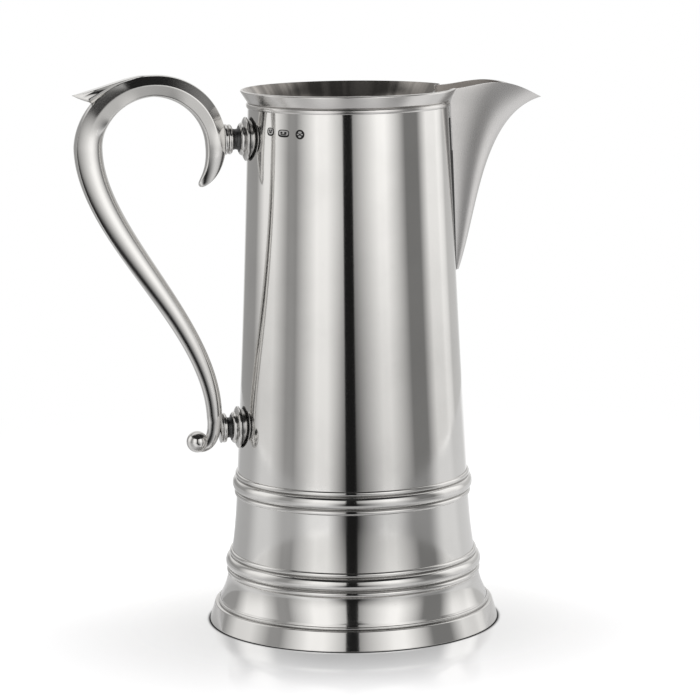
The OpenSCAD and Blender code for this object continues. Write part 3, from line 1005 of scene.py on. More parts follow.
@dataclass(frozen=True)
class Punch:
    """Plain punch mark on the drum: a near-black field, painted shade with some oxide for the sunk mark, with
    lighter and darker spots on it, as thin plates.

    The bearing is an angle about the axis of the body from +X. The squareness is 1 for an oval and less for
    a squarer shape. Each spot is given by its middle and its size, as shares of the half width and the half
    height, and by its finish.
    """

    name: str
    bearing: float
    height: float
    width: float
    tall: float
    squareness: float
    spots: Sequence[tuple[float, float, float, float, Pewter]]
    drum: DrumForm = DRUM
    root: float = -0.4
    field_rise: float = 0.03
    spot_rise: float = 0.05
    spot_layer: float = 0.02

    def make_plate(self, middle: Point, half: Point, rise: float, finish: Pewter) -> bpy.types.Object:
        """Makes a thin plate that follows the drum.

        Args:
            middle: distance of its middle from that of the mark, across and up.
            half: its half width and half height.
            rise: how far it stands out from the drum.
            finish: its finish.

        Returns:
            The plate.
        """
        Bench.clear()
        bpy.ops.mesh.primitive_circle_add(vertices=40, radius=1.0, fill_type="TRIFAN")
        obj = Bench.named(self.name)
        bpy.ops.object.mode_set(mode="EDIT")
        bpy.ops.mesh.select_all(action="SELECT")
        bpy.ops.mesh.extrude_region_move(TRANSFORM_OT_translate={"value": (0, 0, 1)})
        Bench.face_outwards()
        for vertex in obj.data.vertices:
            turn, share = math.atan2(vertex.co.y, vertex.co.x), vertex.co.xy.length
            u, v = (math.copysign(abs(c) ** self.squareness, c) * share
                    for c in (math.cos(turn), math.sin(turn)))
            z = self.height + middle[1] + half[1] * v
            r = self.drum.radius(z) + (rise if vertex.co.z > 0.5 else self.root)
            a = math.radians(self.bearing) + (middle[0] + half[0] * u) / self.drum.radius(z)
            vertex.co = Vector((r * math.cos(a), r * math.sin(a), z)) * MM
        dress(obj, finish)
        return obj

    def make(self) -> None:
        """Makes the mark as one piece."""
        w, h = self.width / 2, self.tall / 2
        plates = [self.make_plate((0.0, 0.0), (w, h), self.field_rise, RECESS_SHADE)]
        for i, (x, y, a, b, finish) in enumerate(self.spots):
            rise = self.spot_rise + self.spot_layer * i
            plates.append(self.make_plate((x * w, y * h), (a * w, b * h), rise, finish))
        Bench.pick(*plates)
        bpy.ops.object.join()
        obj = Bench.named(self.name)
        Bench.smooth(obj)
        hand_over(obj, RECESS_SHADE)


@dataclass
class Spout:
    """Sheet spout with a rounded keel, soldered on the drum.

    The pulls are shares of its reach and of its rise that steer the curve of the keel.
    """

    drum: DrumForm = DRUM
    height: float = 77.0
    reach: float = 41.2
    half_angle: float = 18.0
    end_half_angle: float = 3.0
    end_stand: float = 2.4
    low_pull: Point = (0.265, 0.335)
    high_pull: Point = (0.37, 0.91)
    sheet: float = 1.3
    sheet_bevel: float = 0.35
    dip: float = 5.6
    dip_sharpness: float = 3.4
    arch: float = 2.6
    arch_lean: float = 1.15
    arch_sharpness: float = 1.6
    edge_drop: float = 0.5
    roundness: float = 0.93
    seam_radius: float = 0.85
    seam_top_radius: float = 0.75
    seam_taper: Point = (195.0, 216.0)
    seam_shift: float = 0.3
    seam_flare: float = 2.3
    seam_flare_start: float = 1.6
    seam_flare_height: float = 5.8
    # Height in millimetres where the painted shade on the seams stops, and the depth below it where it covers
    # the whole seam.
    painted_shade_top: float = 212.0
    painted_shade_depth: float = 14.0
    smooth_angle: float = 40.0
    seam_smooth_angle: float = 50.0
    levels: int = 96
    columns: int = 40

    @property
    def low(self) -> float:
        """Returns the height of the lower end."""
        return self.drum.lip_height - self.height

    @property
    def tip(self) -> float:
        """Returns the height of the tip."""
        return self.drum.lip_height - self.dip

    def keel(self, s: float) -> Point:
        """Finds a point of the keel.

        Args:
            s: share of the way up.

        Returns:
            Its distance from the axis and its height.
        """
        foot, top, rise = self.drum.radius(self.low), self.drum.top_radius, self.tip - self.low
        low = (foot + self.low_pull[0] * self.reach, self.low + self.low_pull[1] * rise)
        high = (top + self.high_pull[0] * self.reach, self.low + self.high_pull[1] * rise)
        return bezier([(foot + self.end_stand, self.low), low, high, (top + self.reach, self.tip)], s)

    def edge(self, q: float) -> float:
        """Finds a point of the upper edge.

        Args:
            q: share of the way out from the joint to the keel.

        Returns:
            Its height.
        """
        arch = self.arch * math.sin(math.pi * q ** self.arch_lean) ** self.arch_sharpness
        dip = (self.dip - self.edge_drop) * q ** self.dip_sharpness
        return self.drum.lip_height - self.edge_drop + arch - dip

    def point(self, s: float, q: float, side: float, inset: float = 0.0) -> Vector:
        """Finds a point of the sheet.

        Args:
            s: share of the way up.
            q: share of the way out from the joint to the keel.
            side: -1 on the one side of the spout and 1 on the other.
            inset: distance from the outside of the sheet.

        Returns:
            The point, in metres.
        """
        out, level = self.keel(s)
        sharp = s ** 3
        out -= inset * lerp(1.1, 1.9, sharp)
        rise = (level - self.low) / (self.tip - self.low)
        z = lerp(self.low, self.edge(q), rise)
        r = self.drum.radius(min(z, self.drum.top_height)) + FIT
        a = math.radians(lerp(self.end_half_angle, self.half_angle, rise))
        a = max(0.25 * a, a - inset / r)
        bow, span = math.sin(math.pi / 2 * q), max(0.0, math.cos(math.pi / 2 * q))
        forward = lerp(bow ** self.roundness, q, sharp)
        width = lerp(span ** self.roundness, 1 - 0.45 * q - 0.55 * q ** 4, sharp)
        x, y = lerp(r * math.cos(a), out, forward), r * math.sin(a) * width
        push = max(1.0, r / math.hypot(x, y))
        return Vector((x * push, side * y * push, z)) * MM

    def make_sheet(self) -> None:
        """Raises the sheet of the spout from a flat grid."""
        Bench.clear()
        bpy.ops.mesh.primitive_grid_add(x_subdivisions=2 * self.columns, y_subdivisions=self.levels, size=2)
        obj = Bench.named("spout_sheet")
        places = [((v.co.y + 1) / 2, 1 - abs(v.co.x), math.copysign(1.0, v.co.x)) for v in obj.data.vertices]
        for vertex, place in zip(obj.data.vertices, places):
            vertex.co = self.point(*place)
        bpy.ops.object.mode_set(mode="EDIT")
        Bench.face_outwards()
        keel = max(obj.data.polygons, key=lambda face: face.center.x)
        if keel.normal.x < 0:
            obj.data.flip_normals()
        for finish in (SPOUT_OUTSIDE, SPOUT_INSIDE):
            obj.data.materials.append(SHOP.get(finish))
        Bench.modify(obj, "SOLIDIFY", thickness=self.sheet * MM, offset=-1.0, use_even_offset=True,
                     material_offset=1)
        for vertex, place in zip(obj.data.vertices[len(places):], places):
            vertex.co = self.point(*place, self.sheet)
        Bench.modify(obj, "BEVEL", width=self.sheet_bevel * MM, segments=3, limit_method="ANGLE",
                     angle_limit=math.radians(50))
        Bench.smooth(obj, self.smooth_angle)
        Bench.mark_wear(obj)
        hand_over(obj, SPOUT_OUTSIDE, "spout")

    def in_painted_shade(self, face: bpy.types.MeshPolygon) -> bool:
        """Says whether a face of a seam gets painted shade: all of the seam low down, and just below the rim
        only its side in the corner at the drum.
        """
        drop = self.painted_shade_top - face.center.z / MM
        return drop > 0 and (drop > self.painted_shade_depth or face.normal.x < 0.1)

    def make_seam(self, name: str, side: float) -> None:
        """Runs solder along the joint of spout and drum, and up the end of the rim.

        Args:
            name: name of the piece.
            side: -1 for the seam on the one side of the spout and 1 for the other.
        """
        path, radii = [], []
        turn = Matrix.Rotation(side * self.seam_shift / self.drum.top_radius, 3, "Z")
        for s in spread(0.0, 1.0, 90):
            joint = self.point(s, 0.0, side)
            height = joint.z / MM
            flare = max(0.0, height - self.drum.top_height - self.seam_flare_start) / self.seam_flare_height
            out = joint.xy.normalized().to_3d() * self.seam_flare * flare ** 1.5 * MM
            path.append(turn @ joint + out)
            radii.append(lerp(self.seam_radius, self.seam_top_radius, soft(height, *self.seam_taper)) * MM)
        obj = Bench.rod(name, path, radii)
        Bench.smooth(obj, self.seam_smooth_angle)
        # Solder colour, with painted shade where the seam meets the drum low down, for the dark gap of the
        # joint.
        dress(obj, SOLDER, PAINTED_SHADE, self.in_painted_shade)
        hand_over(obj, SOLDER)

    def make(self) -> None:
        """Makes all pieces of the spout."""
        self.make_sheet()
        self.make_seam("near_seam", -1.0)
        self.make_seam("far_seam", 1.0)


@dataclass
class Fixing:
    """Rosette and collar that hold one end of the handle to the drum."""

    place: str
    height: float
    length: float
    rosette_radius: float
    collar_depth: float
    drum: DrumForm = DRUM
    rosette_height: float = 4.1
    rosette_sink: float = 1.0
    collar_radius: float = 6.2
    neck_radius: float = 4.2
    neck_flare: float = 0.7
    seat_depth: float = 0.9
    roughness: float = 0.10
    turning_steps: int = 96

    @property
    def start(self) -> float:
        """Returns the distance of the drum's wall from the axis, at this fixing."""
        return self.drum.radius(self.height)

    @property
    def neck_span(self) -> Point:
        """Returns the distances of the neck's two ends from the axis."""
        return self.start + self.rosette_height, self.start + self.length - self.collar_depth

    @property
    def finish(self) -> Pewter:
        """Returns the finish, with lines that run round this fixing."""
        return Pewter(f"{self.place}_fixing_pewter", POLISHED.tint, Polish.ROUND_FIXING, self.roughness,
                      fixing_height=self.height)

    def make_rosette(self) -> None:
        """Turns the stepped rosette on the drum."""
        start, big, base = self.start, self.rosette_radius, self.start - self.rosette_sink
        top = start + self.rosette_height
        outline = Outline(0.0, base).to((big - 1.3, base), (big - 1.3, start + 0.3))
        outline.to((big - 0.3, start + 0.8))
        outline.half_round((big - 0.3, start + 1.75), 0.3, 8)
        outline.curve((0.92 * big, start + 2.1), (0.84 * big, start + 2.3), 6)
        outline.to((0.79 * big, start + 2.35), (0.74 * big, start + 2.6))
        outline.half_round((0.58 * big, top), 0.55, 12)
        outline.to((0.0, top))
        self.finish_turning(f"{self.place}_rose", outline, f"{self.place}_rosette")

    def make_collar(self) -> None:
        """Turns the collar with its neck."""
        big, flare = self.collar_radius, self.neck_flare
        thick, thin = self.neck_radius + flare, self.neck_radius - flare
        low, disc = self.neck_span
        face = self.start + self.length + self.seat_depth
        outline = Outline(0.0, low - 1.0).to((thick, low - 1.0), (thick, low))
        outline.curve((thin, (low + disc) / 2), (thick, disc), 12)
        outline.to((big - 0.6, disc))
        outline.half_round((big - 0.6, disc + 1.65), 0.6, 14)
        outline.to((big - 0.7, disc + 1.75), (big - 0.1, disc + 1.9))
        outline.half_round((big - 0.1, face), 0.22, 10)
        outline.to((0.0, face))
        self.finish_turning(f"{self.place}_neck", outline, f"{self.place}_collar")

    def finish_turning(self, name: str, outline: Outline, node: str) -> None:
        """Turns and completes one piece.

        Args:
            name: name of the piece.
            outline: its outline.
            node: node that it stands for.
        """
        obj = Bench.turn(name, outline, Spindle(fixing_height=self.height), self.turning_steps)
        # The neck and the back against the drum get painted shade, for their shadow and their dark mirror
        # image in the drum.
        complete(obj, node, self.finish, PAINTED_SHADE, self.in_painted_shade)

    def in_painted_shade(self, face: bpy.types.MeshPolygon) -> bool:
        """Finds the faces that get painted shade: the neck, and the back of the rosette against the drum.

        Args:
            face: face of the rosette or the collar.

        Returns:
            Whether the face gets the painted shade.
        """
        low, high = self.neck_span
        out, reach = -face.center.x / MM, math.hypot(face.center.y, face.center.z - self.height * MM) / MM
        in_neck = low - 0.1 < out < high + 0.1 and reach < self.neck_radius + 1.2
        return in_neck or (face.normal.x > 0.2 and out < low - 1.5)

    def make(self) -> None:
        """Makes both pieces."""
        self.make_rosette()
        self.make_collar()


@dataclass
class Handle:
    """S-scroll bar with a hook, a spur on its back and a ball in its lower curl.

    Places along the bar are pairs of the distance behind the axis of the body and the height. A share of the
    arch is below 0 in the hook and above 1 in the grip. The depth and swell shares are shares of the depth of
    the grip, and the leads and pulls steer the curves of the bar's middle line.
    """

    upper: Fixing
    lower: Fixing
    arch_radius: float = 25.7
    arch_rise: float = 22.8
    arch_drop: float = 2.0
    arch_swell_share: float = 0.09
    hook_depth_share: float = 0.72
    crown_depth_share: float = 0.76
    tail_depth_share: float = 0.53
    hook_tip: Point = (7.2, -16.8)
    hook_tip_depth: float = 0.9
    hook_pull: Point = (-4.3, 3.2)
    hook_lead: float = 8.5
    hook_taper: float = 0.52
    grip_lead_share: float = 0.315
    grip_end_share: float = 0.355
    grip_taper: float = 1.3
    tail_rise: float = 4.0
    tail_lead: float = 7.0
    tail_pull: Point = (-5.4, -2.9)
    tail_end: Point = (-0.6, -2.3)
    tail_end_depth: float = 4.2
    tail_taper: float = 0.7
    ball_behind: float = 7.5
    ball_drop: float = 5.4
    grip_draw: float = 1.3
    grip_depth: float = 11.7
    grip_width: float = 11.0
    crown_width: float = 8.3
    bevel_angle: float = 22.0
    hook_bevel_angle: float = 29.0
    bevel_turn: float = 0.114
    bevel_start: float = 0.06
    draft: float = 0.08
    arris: float = 0.45
    belly_start: float = -0.38
    spur_width: float = 6.6
    spur_taper: float = 0.46
    spur_run: Point = (0.79, 0.5)
    spur_tip: Point = (8.2, 3.1)
    spur_hollow: Point = (0.3, -0.6)
    spur_hump: float = 2.7
    spur_dip: float = 0.3
    spur_root: Point = (-1.6, -0.8)
    spur_root_drop: float = 0.45
    spur_squareness: float = 0.15
    spur_tip_half_width: float = 0.3
    bar_smooth_angle: float = 28.0
    spur_smooth_angle: float = 40.0
    hook_steps: int = 26
    arch_steps: int = 80
    grip_steps: int = 64
    tail_steps: int = 20

    def __post_init__(self) -> None:
        """Works out the depths of the bar and the places that its middle line goes through."""
        self.hook_depth = self.hook_depth_share * self.grip_depth
        self.crown_depth = self.crown_depth_share * self.grip_depth
        self.tail_depth = self.tail_depth_share * self.grip_depth
        seat = self.upper.start + self.upper.length
        self.arch_x = seat + self.hook_depth / 2 + self.arch_radius
        self.arch_z = self.upper.height - self.arch_drop
        self.grip_x = self.arch_x + self.arch_radius + self.grip_draw
        self.tail_x = self.lower.start + self.lower.length + self.tail_depth / 2
        self.tail_z = self.lower.height + self.tail_rise
        self.ball = (self.tail_x + self.ball_behind, self.lower.height - self.ball_drop)

    def hook(self, t: float) -> tuple[Point, float]:
        """Finds a place of the hook.

        Args:
            t: share of the hook, from its tip.

        Returns:
            The middle and the depth of the bar.
        """
        x, z = self.arch_x - self.arch_radius, self.arch_z
        tip = shifted((x, z), self.hook_tip)
        line = bezier([tip, shifted(tip, self.hook_pull), (x, z - self.hook_lead), (x, z)], t)
        return line, lerp(self.hook_tip_depth, self.hook_depth, t ** self.hook_taper)

    def arch(self, t: float) -> tuple[Point, float]:
        """Finds a place of the arch.

        Args:
            t: share of the arch, from the hook.

        Returns:
            The middle and the depth of the bar.
        """
        a = math.pi * t
        r = self.arch_radius + self.grip_draw * t * t
        line = (self.arch_x - r * math.cos(a), self.arch_z + (self.arch_rise + self.arch_drop) * math.sin(a))
        if t < 0.5:
            swell = self.arch_swell_share * self.grip_depth * math.sin(2 * a)
            return line, lerp(self.hook_depth, self.crown_depth, 2 * t) + swell
        return line, lerp(self.crown_depth, self.grip_depth, 2 * t - 1)

    def grip(self, t: float) -> tuple[Point, float]:
        """Finds a place of the grip.

        Args:
            t: share of the grip, from the arch.

        Returns:
            The middle and the depth of the bar.
        """
        drop = self.arch_z - self.tail_z
        line = bezier([(self.grip_x, self.arch_z),
                       (self.grip_x, self.arch_z - self.grip_lead_share * drop),
                       (self.tail_x, self.tail_z + self.grip_end_share * drop),
                       (self.tail_x, self.tail_z)], t)
        return line, lerp(self.grip_depth, self.tail_depth, t ** self.grip_taper)

    def tail(self, t: float) -> tuple[Point, float]:
        """Finds a place of the curl under the ball.

        Args:
            t: share of the curl, from the grip.

        Returns:
            The middle and the depth of the bar.
        """
        line = bezier([(self.tail_x, self.tail_z), (self.tail_x, self.tail_z - self.tail_lead),
                       shifted(self.ball, self.tail_pull), shifted(self.ball, self.tail_end)], t)
        return line, lerp(self.tail_depth, self.tail_end_depth, t ** self.tail_taper)

    def stations(self) -> list[Station]:
        """Lists the stations of the bar.

        Returns:
            The stations from the tip of the hook to the ball.
        """
        runs = ((self.hook, self.hook_steps), (self.arch, self.arch_steps),
                (self.grip, self.grip_steps), (self.tail, self.tail_steps))
        places = [run(t) for run, steps in runs for t in spread(0, 1, steps)[:-1]]
        places.append(self.tail(1.0))
        found: list[Station] = []
        for i, (line, depth) in enumerate(places):
            a, b = places[max(i - 1, 0)][0], places[min(i + 1, len(places) - 1)][0]
            heading = math.atan2(b[0] - a[0], b[1] - a[1])
            if found:
                turns = round((found[-1].heading - heading) / math.tau)
                heading += turns * math.tau
            found.append(Station(Vector((-line[0], 0, line[1])) * MM, heading, depth * MM))
        return found

    @staticmethod
    def closing(b: float, start: float) -> float:
        """Returns the openness of the section at share b of its depth, where it closes from start on."""
        u = min(max((start - b) / (start + 0.5), 0.0), 1.0)
        return (1 - u ** 2.5) ** 0.4

    def flat_half(self, b: float) -> float:
        """Returns the half width of the plain section at share b of its depth, as a share of that depth."""
        return self.grip_width / self.grip_depth / 2 * self.closing(b, self.belly_start)

    def section(self) -> list[Point]:
        """Draws the plain section of the bar: crowned back, fine edges, flat flanks and tight belly.

        Returns:
            The closed section, as shares of the depth towards the back and across.
        """
        wide, belly = self.flat_half(self.arris), self.belly_start
        rise = 0.5 - self.arris - 0.012
        half = [(0.5 - rise * t * t, 0.97 * wide * t) for t in (0.0, 0.25, 0.5, 0.75, 0.9, 1.0)]
        levels = [self.arris, *spread(self.arris - 0.02, belly, 26)[:-1]]
        levels += [belly - 0.12 * math.sin(a) ** 0.8 for a in spread(0, math.pi / 2, 14)]
        half += [(b, self.flat_half(b)) for b in levels]
        return half + [(b, -a) for b, a in reversed(half[1:-1])]

    def shaped_half(self, b: float, share: float) -> float:
        """Works out the half width of the finished section.

        Args:
            b: share of the depth, from -0.5 at the belly to 0.5 at the back.
            share: share of the arch.

        Returns:
            The half width as a share of the depth.
        """
        flat = self.flat_half(b)
        angle = lerp(self.hook_bevel_angle, self.bevel_angle, soft(share, 0.2, 0.45))
        slope = math.tan(math.radians(angle))
        if share > 0.5:
            slope = min(slope, self.bevel_turn / max(0.1, -math.cos(math.pi * share)))
        draft = self.draft * soft(share, 0.3, 0.42) * soft(share, 0.72, 0.58)
        crown = flat - slope * max(0.0, b - self.bevel_start) - draft * max(0.0, self.bevel_start - b)
        hook = flat - 0.285 * max(0.0, b + 0.27) ** 2
        lower = min(max((share - 1.0) / 0.5, 0.0), 1.0)
        u = lerp(0.33, 0.14, lower) - b
        grip = self.flat_half(0.0) - lerp(0.28, 0.47, lower) * u ** 2 - 0.13 * max(0.0, u) ** 4
        grip *= self.closing(b, -0.3)
        near = lerp(hook, crown, soft(share, 0.0, 0.14))
        return max(0.0, lerp(near, grip, soft(share, 0.8, 0.95)))

    def shape_flanks(self, obj: bpy.types.Object, stations: Sequence[Station]) -> None:
        """Works the flanks: sloping on the hook, bevelled on the arch and drawn in to the belly on the grip.

        Args:
            obj: the bar.
            stations: its stations.
        """
        for vertex in obj.data.vertices:
            i = min(range(len(stations)), key=lambda k: (stations[k].middle - vertex.co).length_squared)
            near, share = stations[i], (i - self.hook_steps) / self.arch_steps
            b = min(near.towards_back(vertex.co) / near.depth, self.arris)
            if self.flat_half(b) > 0.02:
                even = self.crown_width / 2 * MM / (self.flat_half(0.0) * near.depth)
                even = lerp(1.0, even, soft(share, -0.05, 0.1) * soft(share, 1.25, 0.68))
                vertex.co.y *= even * self.shaped_half(b, share) / self.flat_half(b)

    @staticmethod
    def mark_girth(obj: bpy.types.Object, stations: Sequence[Station]) -> None:
        """Stores how far round the bar each point lies, in millimetres.

        Args:
            obj: the bar.
            stations: its stations.
        """
        values = []
        for vertex in obj.data.vertices:
            near = min(stations, key=lambda s: (s.middle - vertex.co).length_squared)
            turn = math.atan2(vertex.co.y - near.middle.y, near.towards_back(vertex.co))
            values.append(abs(turn) * near.depth / 2 / MM)
        obj.data.attributes.new("girth", "FLOAT", "POINT").data.foreach_set("value", values)

    def make_bar(self) -> None:
        """Draws the bar from the hook to the ball."""
        stations = self.stations()
        obj = Bench.sweep("handle_bar", self.section(), stations)
        self.shape_flanks(obj, stations)
        self.mark_girth(obj, stations)
        complete(obj, "handle", BAR, angle=self.bar_smooth_angle)

    def arch_back(self, t: float) -> Point:
        """Finds a point of the bar's back.

        Args:
            t: share of the arch.

        Returns:
            The point.
        """
        (x, z), depth = self.arch(t)
        (ax, az), (bx, bz) = self.arch(t - 0.01)[0], self.arch(t + 0.01)[0]
        length = math.hypot(bx - ax, bz - az)
        return x - (bz - az) / length * depth / 2, z + (bx - ax) / length * depth / 2

    def make_spur(self) -> None:
        """Draws the spur on the back of the arch out of a ball."""
        low, high = (self.arch_back(t) for t in self.spur_run)
        tip = shifted(low, self.spur_tip)
        under = [low, shifted(between(low, tip, 0.5), self.spur_hollow), tip]
        over = [high, shifted(between(high, tip, 0.25), (0.0, self.spur_hump)),
                shifted(between(high, tip, 0.61), (0.0, -self.spur_dip)), tip]
        Bench.clear()
        bpy.ops.mesh.primitive_uv_sphere_add(segments=40, ring_count=48, radius=1.0)
        obj = Bench.named("spur")
        for vertex in obj.data.vertices:
            t = math.acos(max(-1.0, min(1.0, vertex.co.z))) / math.pi
            turn = math.atan2(vertex.co.y, vertex.co.x)
            root = 1 - soft(t, 0.0, 0.08)
            a, b = bezier(under, t), bezier(over, t)
            up, across = (math.copysign(abs(v) ** self.spur_squareness, v)
                          for v in (math.cos(turn), math.sin(turn)))
            rise = (1 + up * (1 - root)) / 2
            x, z = shifted(between(a, b, rise), (self.spur_root[0] * root, self.spur_root[1] * root))
            half = min(self.spur_width / 2, self.spur_tip_half_width + self.spur_taper * (tip[0] - x))
            swell = half * (1 - root) * lerp(0.7, 1.0, soft(t, 0.05, 0.4))
            z -= self.spur_root_drop * soft(t, 0.22, 0.02)
            vertex.co = Vector((-x, swell * across * (t < 1), z)) * MM
        complete(obj, "thumb_spur", POLISHED, angle=self.spur_smooth_angle)

    def make(self) -> None:
        """Makes all pieces of the handle."""
        self.make_bar()
        self.make_spur()
        keep_node("ball_terminal", POLISHED)


@dataclass(frozen=True)
class Softbox:
    """Large soft light that stands on the camera's side of the flagon or beside it.

    Its bearings are degrees to the right of the camera, seen from the flagon, and its levels are those at
    its lower and upper end. The soft shares say how much of its width fades at its left and right end, and
    the edge shares say how much of its light is left there, less near its lower end.
    """

    name: str
    left: float
    right: float
    low_level: float
    high_level: float
    soft_left: float
    soft_right: float
    edge_left: float = 0.0
    edge_right: float = 0.0
    distance: float = 600.0
    bottom: float = -30.0
    top: float = 560.0

    def level(self, sheet: NodeSheet) -> Wire:
        """Works out the light over the face of the softbox.

        Args:
            sheet: node tree that is drawn.

        Returns:
            The level at each point.
        """
        u, v, _ = sheet.split(sheet.wire("ShaderNodeNewGeometry", "Parametric"))
        level = self.low_level + v.step(0.0, 0.45) * (self.high_level - self.low_level)
        left, right = (v.step(-0.03, 0.3, Ramp.EVEN) * share for share in (self.edge_left, self.edge_right))
        left = left + u.step(0.0, self.soft_left, Ramp.EVEN) * (1 - left)
        right = right + u.step(1.0, 1.0 - self.soft_right, Ramp.EVEN) * (1 - right)
        return level * left * right * v.step(1.0, 0.9)

    def make(self, turn: float) -> None:
        """Sets up the light.

        Args:
            turn: bearing of the camera round the flagon, in degrees.
        """
        middle, half = (self.left + self.right) / 2, math.radians((self.right - self.left) / 2)
        angle = math.radians(middle - turn)
        light = bpy.data.lights.new(self.name, "AREA")
        light.shape = "RECTANGLE"
        light.size = 2 * self.distance * math.tan(half) * MM
        light.size_y = (self.top - self.bottom) * MM
        light.energy = math.pi * light.size * light.size_y
        light.use_nodes = True
        sheet = NodeSheet(light.node_tree)
        lamp = sheet.glow(self.level(sheet), LAMP_WHITE)
        sheet.node("ShaderNodeOutputLight", None, {"Surface": lamp.outputs[0]})
        obj = bpy.data.objects.new(self.name, light)
        bpy.context.scene.collection.objects.link(obj)
        out, up = Vector((math.sin(angle), -math.cos(angle), 0)), Vector((0, 0, 1))
        place = out * self.distance * MM + Vector((0, 0, (self.top + self.bottom) / 2 * MM))
        obj.matrix_world = Matrix.Translation(place) @ Matrix((up.cross(out), up, out)).transposed().to_4x4()
        obj.visible_camera = False


@dataclass
class Studio:
    """Camera, softboxes, light tent and floor.

    A level is the strength of a light, where 1 is white.
    """

    foot_radius: float
    turn: float = 12.0
    distance: float = 1243.0
    aside: float = -0.37
    camera_height: float = 319.6
    pitch: float = 9.375
    roll: float = 0.631
    lens: float = 154.507
    film_width: float = 36.0
    floor_radius: float = 620.0
    softboxes: Sequence[Softbox] = (
        Softbox("left_softbox", left=-59.0, right=-6.3, low_level=0.98, high_level=1.24,
                soft_left=0.46, soft_right=0.34, edge_right=0.5),
        Softbox("right_softbox", left=3.9, right=64.0, low_level=0.80, high_level=1.32,
                soft_left=0.46, soft_right=0.42, edge_left=0.28),
        Softbox("left_side_softbox", left=-121.0, right=-69.0, low_level=0.44, high_level=0.78,
                soft_left=0.32, soft_right=0.36),
        Softbox("right_side_softbox", left=81.0, right=130.0, low_level=0.62, high_level=0.97,
                soft_left=0.29, soft_right=0.32))
    left_level: float = 0.36
    right_level: float = 0.222
    right_rear_level: float = 0.42
    least_level: float = 0.012
    ceiling_level: float = 0.03
    back_level: float = 0.88
    floor_level: float = 0.72
    floor_tone: Colour = (0.86, 0.86, 0.875)
    # Colour of the painted contact shadow round the foot; foot_shadow is its width in millimetres.
    painted_contact_shadow_tone: Colour = (0.02, 0.02, 0.02)
    foot_shadow: float = 1.8

    def make_camera(self) -> None:
        """Sets up the camera at the angle of view of the photograph."""
        a, p, r = (math.radians(v) for v in (self.turn, self.pitch, self.roll))
        right = Vector((math.cos(a), -math.sin(a), 0))
        ahead = Vector((math.sin(a) * math.cos(p), math.cos(a) * math.cos(p), -math.sin(p)))
        up = right.cross(ahead)
        across = right * math.cos(r) - up * math.sin(r)
        upright = right * math.sin(r) + up * math.cos(r)
        place = Vector((self.aside * math.cos(a) - self.distance * math.sin(a),
                        -self.aside * math.sin(a) - self.distance * math.cos(a), self.camera_height)) * MM
        bpy.ops.object.camera_add()
        camera = bpy.context.object
        camera.data.lens = self.lens
        camera.data.sensor_width = self.film_width
        camera.matrix_world = Matrix.Translation(place) @ Matrix(
            (across, upright, -ahead)).transposed().to_4x4()
        bpy.context.scene.camera = camera

    def from_camera(self, x: Wire, y: Wire) -> tuple[Wire, Wire]:
        """Turns a place or a direction to the bearing of the camera.

        Args:
            x: its part along +X.
            y: its part along +Y.

        Returns:
            Its part to the right and its part towards the camera.
        """
        a = math.radians(self.turn)
        return x * math.cos(a) - y * math.sin(a), x * -math.sin(a) - y * math.cos(a)

    def make_tent(self) -> None:
        """Hangs the tent: dark in front and over the camera, grey at the sides and pale behind."""
        world = bpy.data.worlds.new("light_tent")
        world.use_nodes = True
        bpy.context.scene.world = world
        sheet = NodeSheet(world.node_tree)
        x, y, up = sheet.split(sheet.wire("ShaderNodeTexCoord", "Generated"))
        aside, front = self.from_camera(x, y)
        bearing = abs(aside.maths("ARCTAN2", front)) * math.degrees(1.0)
        base = self.left_level + aside.step(-0.1, 0.1) * (self.right_level - self.left_level)
        base = base + aside.step(0.1, 0.3) * bearing.step(112.0, 130.0) * self.right_rear_level
        level = base * bearing.step(30.0, 68.0) + self.least_level
        roof = up.step(0.55, 0.80)
        level = level + roof * (self.ceiling_level - level)
        behind = front.step(-0.55, -0.85) * up.step(0.12, 0.3)
        for place in (front.step(-0.92, -0.985), front.step(0.05, -0.3) * roof):
            behind = behind.maths("MAXIMUM", place)
        level = level + behind * (self.back_level - level)
        tent = sheet.node("ShaderNodeBackground", None, {"Color": LAMP_WHITE, "Strength": level})
        white = sheet.node("ShaderNodeBackground", None, {"Color": WHITE, "Strength": 1.0})
        mixed = sheet.mix(sheet.wire("ShaderNodeLightPath", "Is Camera Ray"), tent, white)
        sheet.node("ShaderNodeOutputWorld", None, {"Surface": mixed.outputs[0]})

    def mirrored_light(self, aside: Wire, front: Wire) -> Wire:
        """Works out the light that the polished floor throws on into the metal, away from the foot.

        Args:
            aside: distance to the right of the flagon.
            front: distance in front of it.

        Returns:
            The level: dark before the camera, and bright beside and behind the flagon.
        """
        bearing = aside.maths("ARCTAN2", front) * math.degrees(1.0)
        left = bearing.step(-5.0, -23.0, Ramp.EVEN) * (bearing.step(-58.0, -36.0) * 0.5 + 0.5)
        left = left + bearing.step(-66.0, -88.0) * bearing.step(-118.0, -96.0) * 0.3
        right = bearing.step(3.8, 30.0, Ramp.EVEN) * (bearing.step(60.0, 38.0) * 0.47 + 0.33)
        right = right + bearing.step(74.0, 95.0) * 0.54 - bearing.step(110.0, 122.0) * 0.12
        return left + right + abs(bearing).step(146.0, 162.0) * 0.25 + self.least_level

    @staticmethod
    def floor_shade(aside: Wire, front: Wire, reach: Wire) -> Wire:
        """Works out the soft shade on the floor round the foot.

        Args:
            aside: distance to the right of the flagon.
            front: distance in front of it.
            reach: distance from its axis.

        Returns:
            The light that the shade takes away.
        """
        shade = reach.step(260 * MM, 60 * MM) * 0.13 + reach.step(92 * MM, 60 * MM) * 0.06
        beside = abs(aside).step(30 * MM, 62 * MM) * reach.step(230 * MM, 70 * MM)
        shade = shade + beside * (aside.step(50 * MM, -50 * MM) * 0.055 + 0.04)
        return front.step(-80 * MM, 30 * MM) * shade

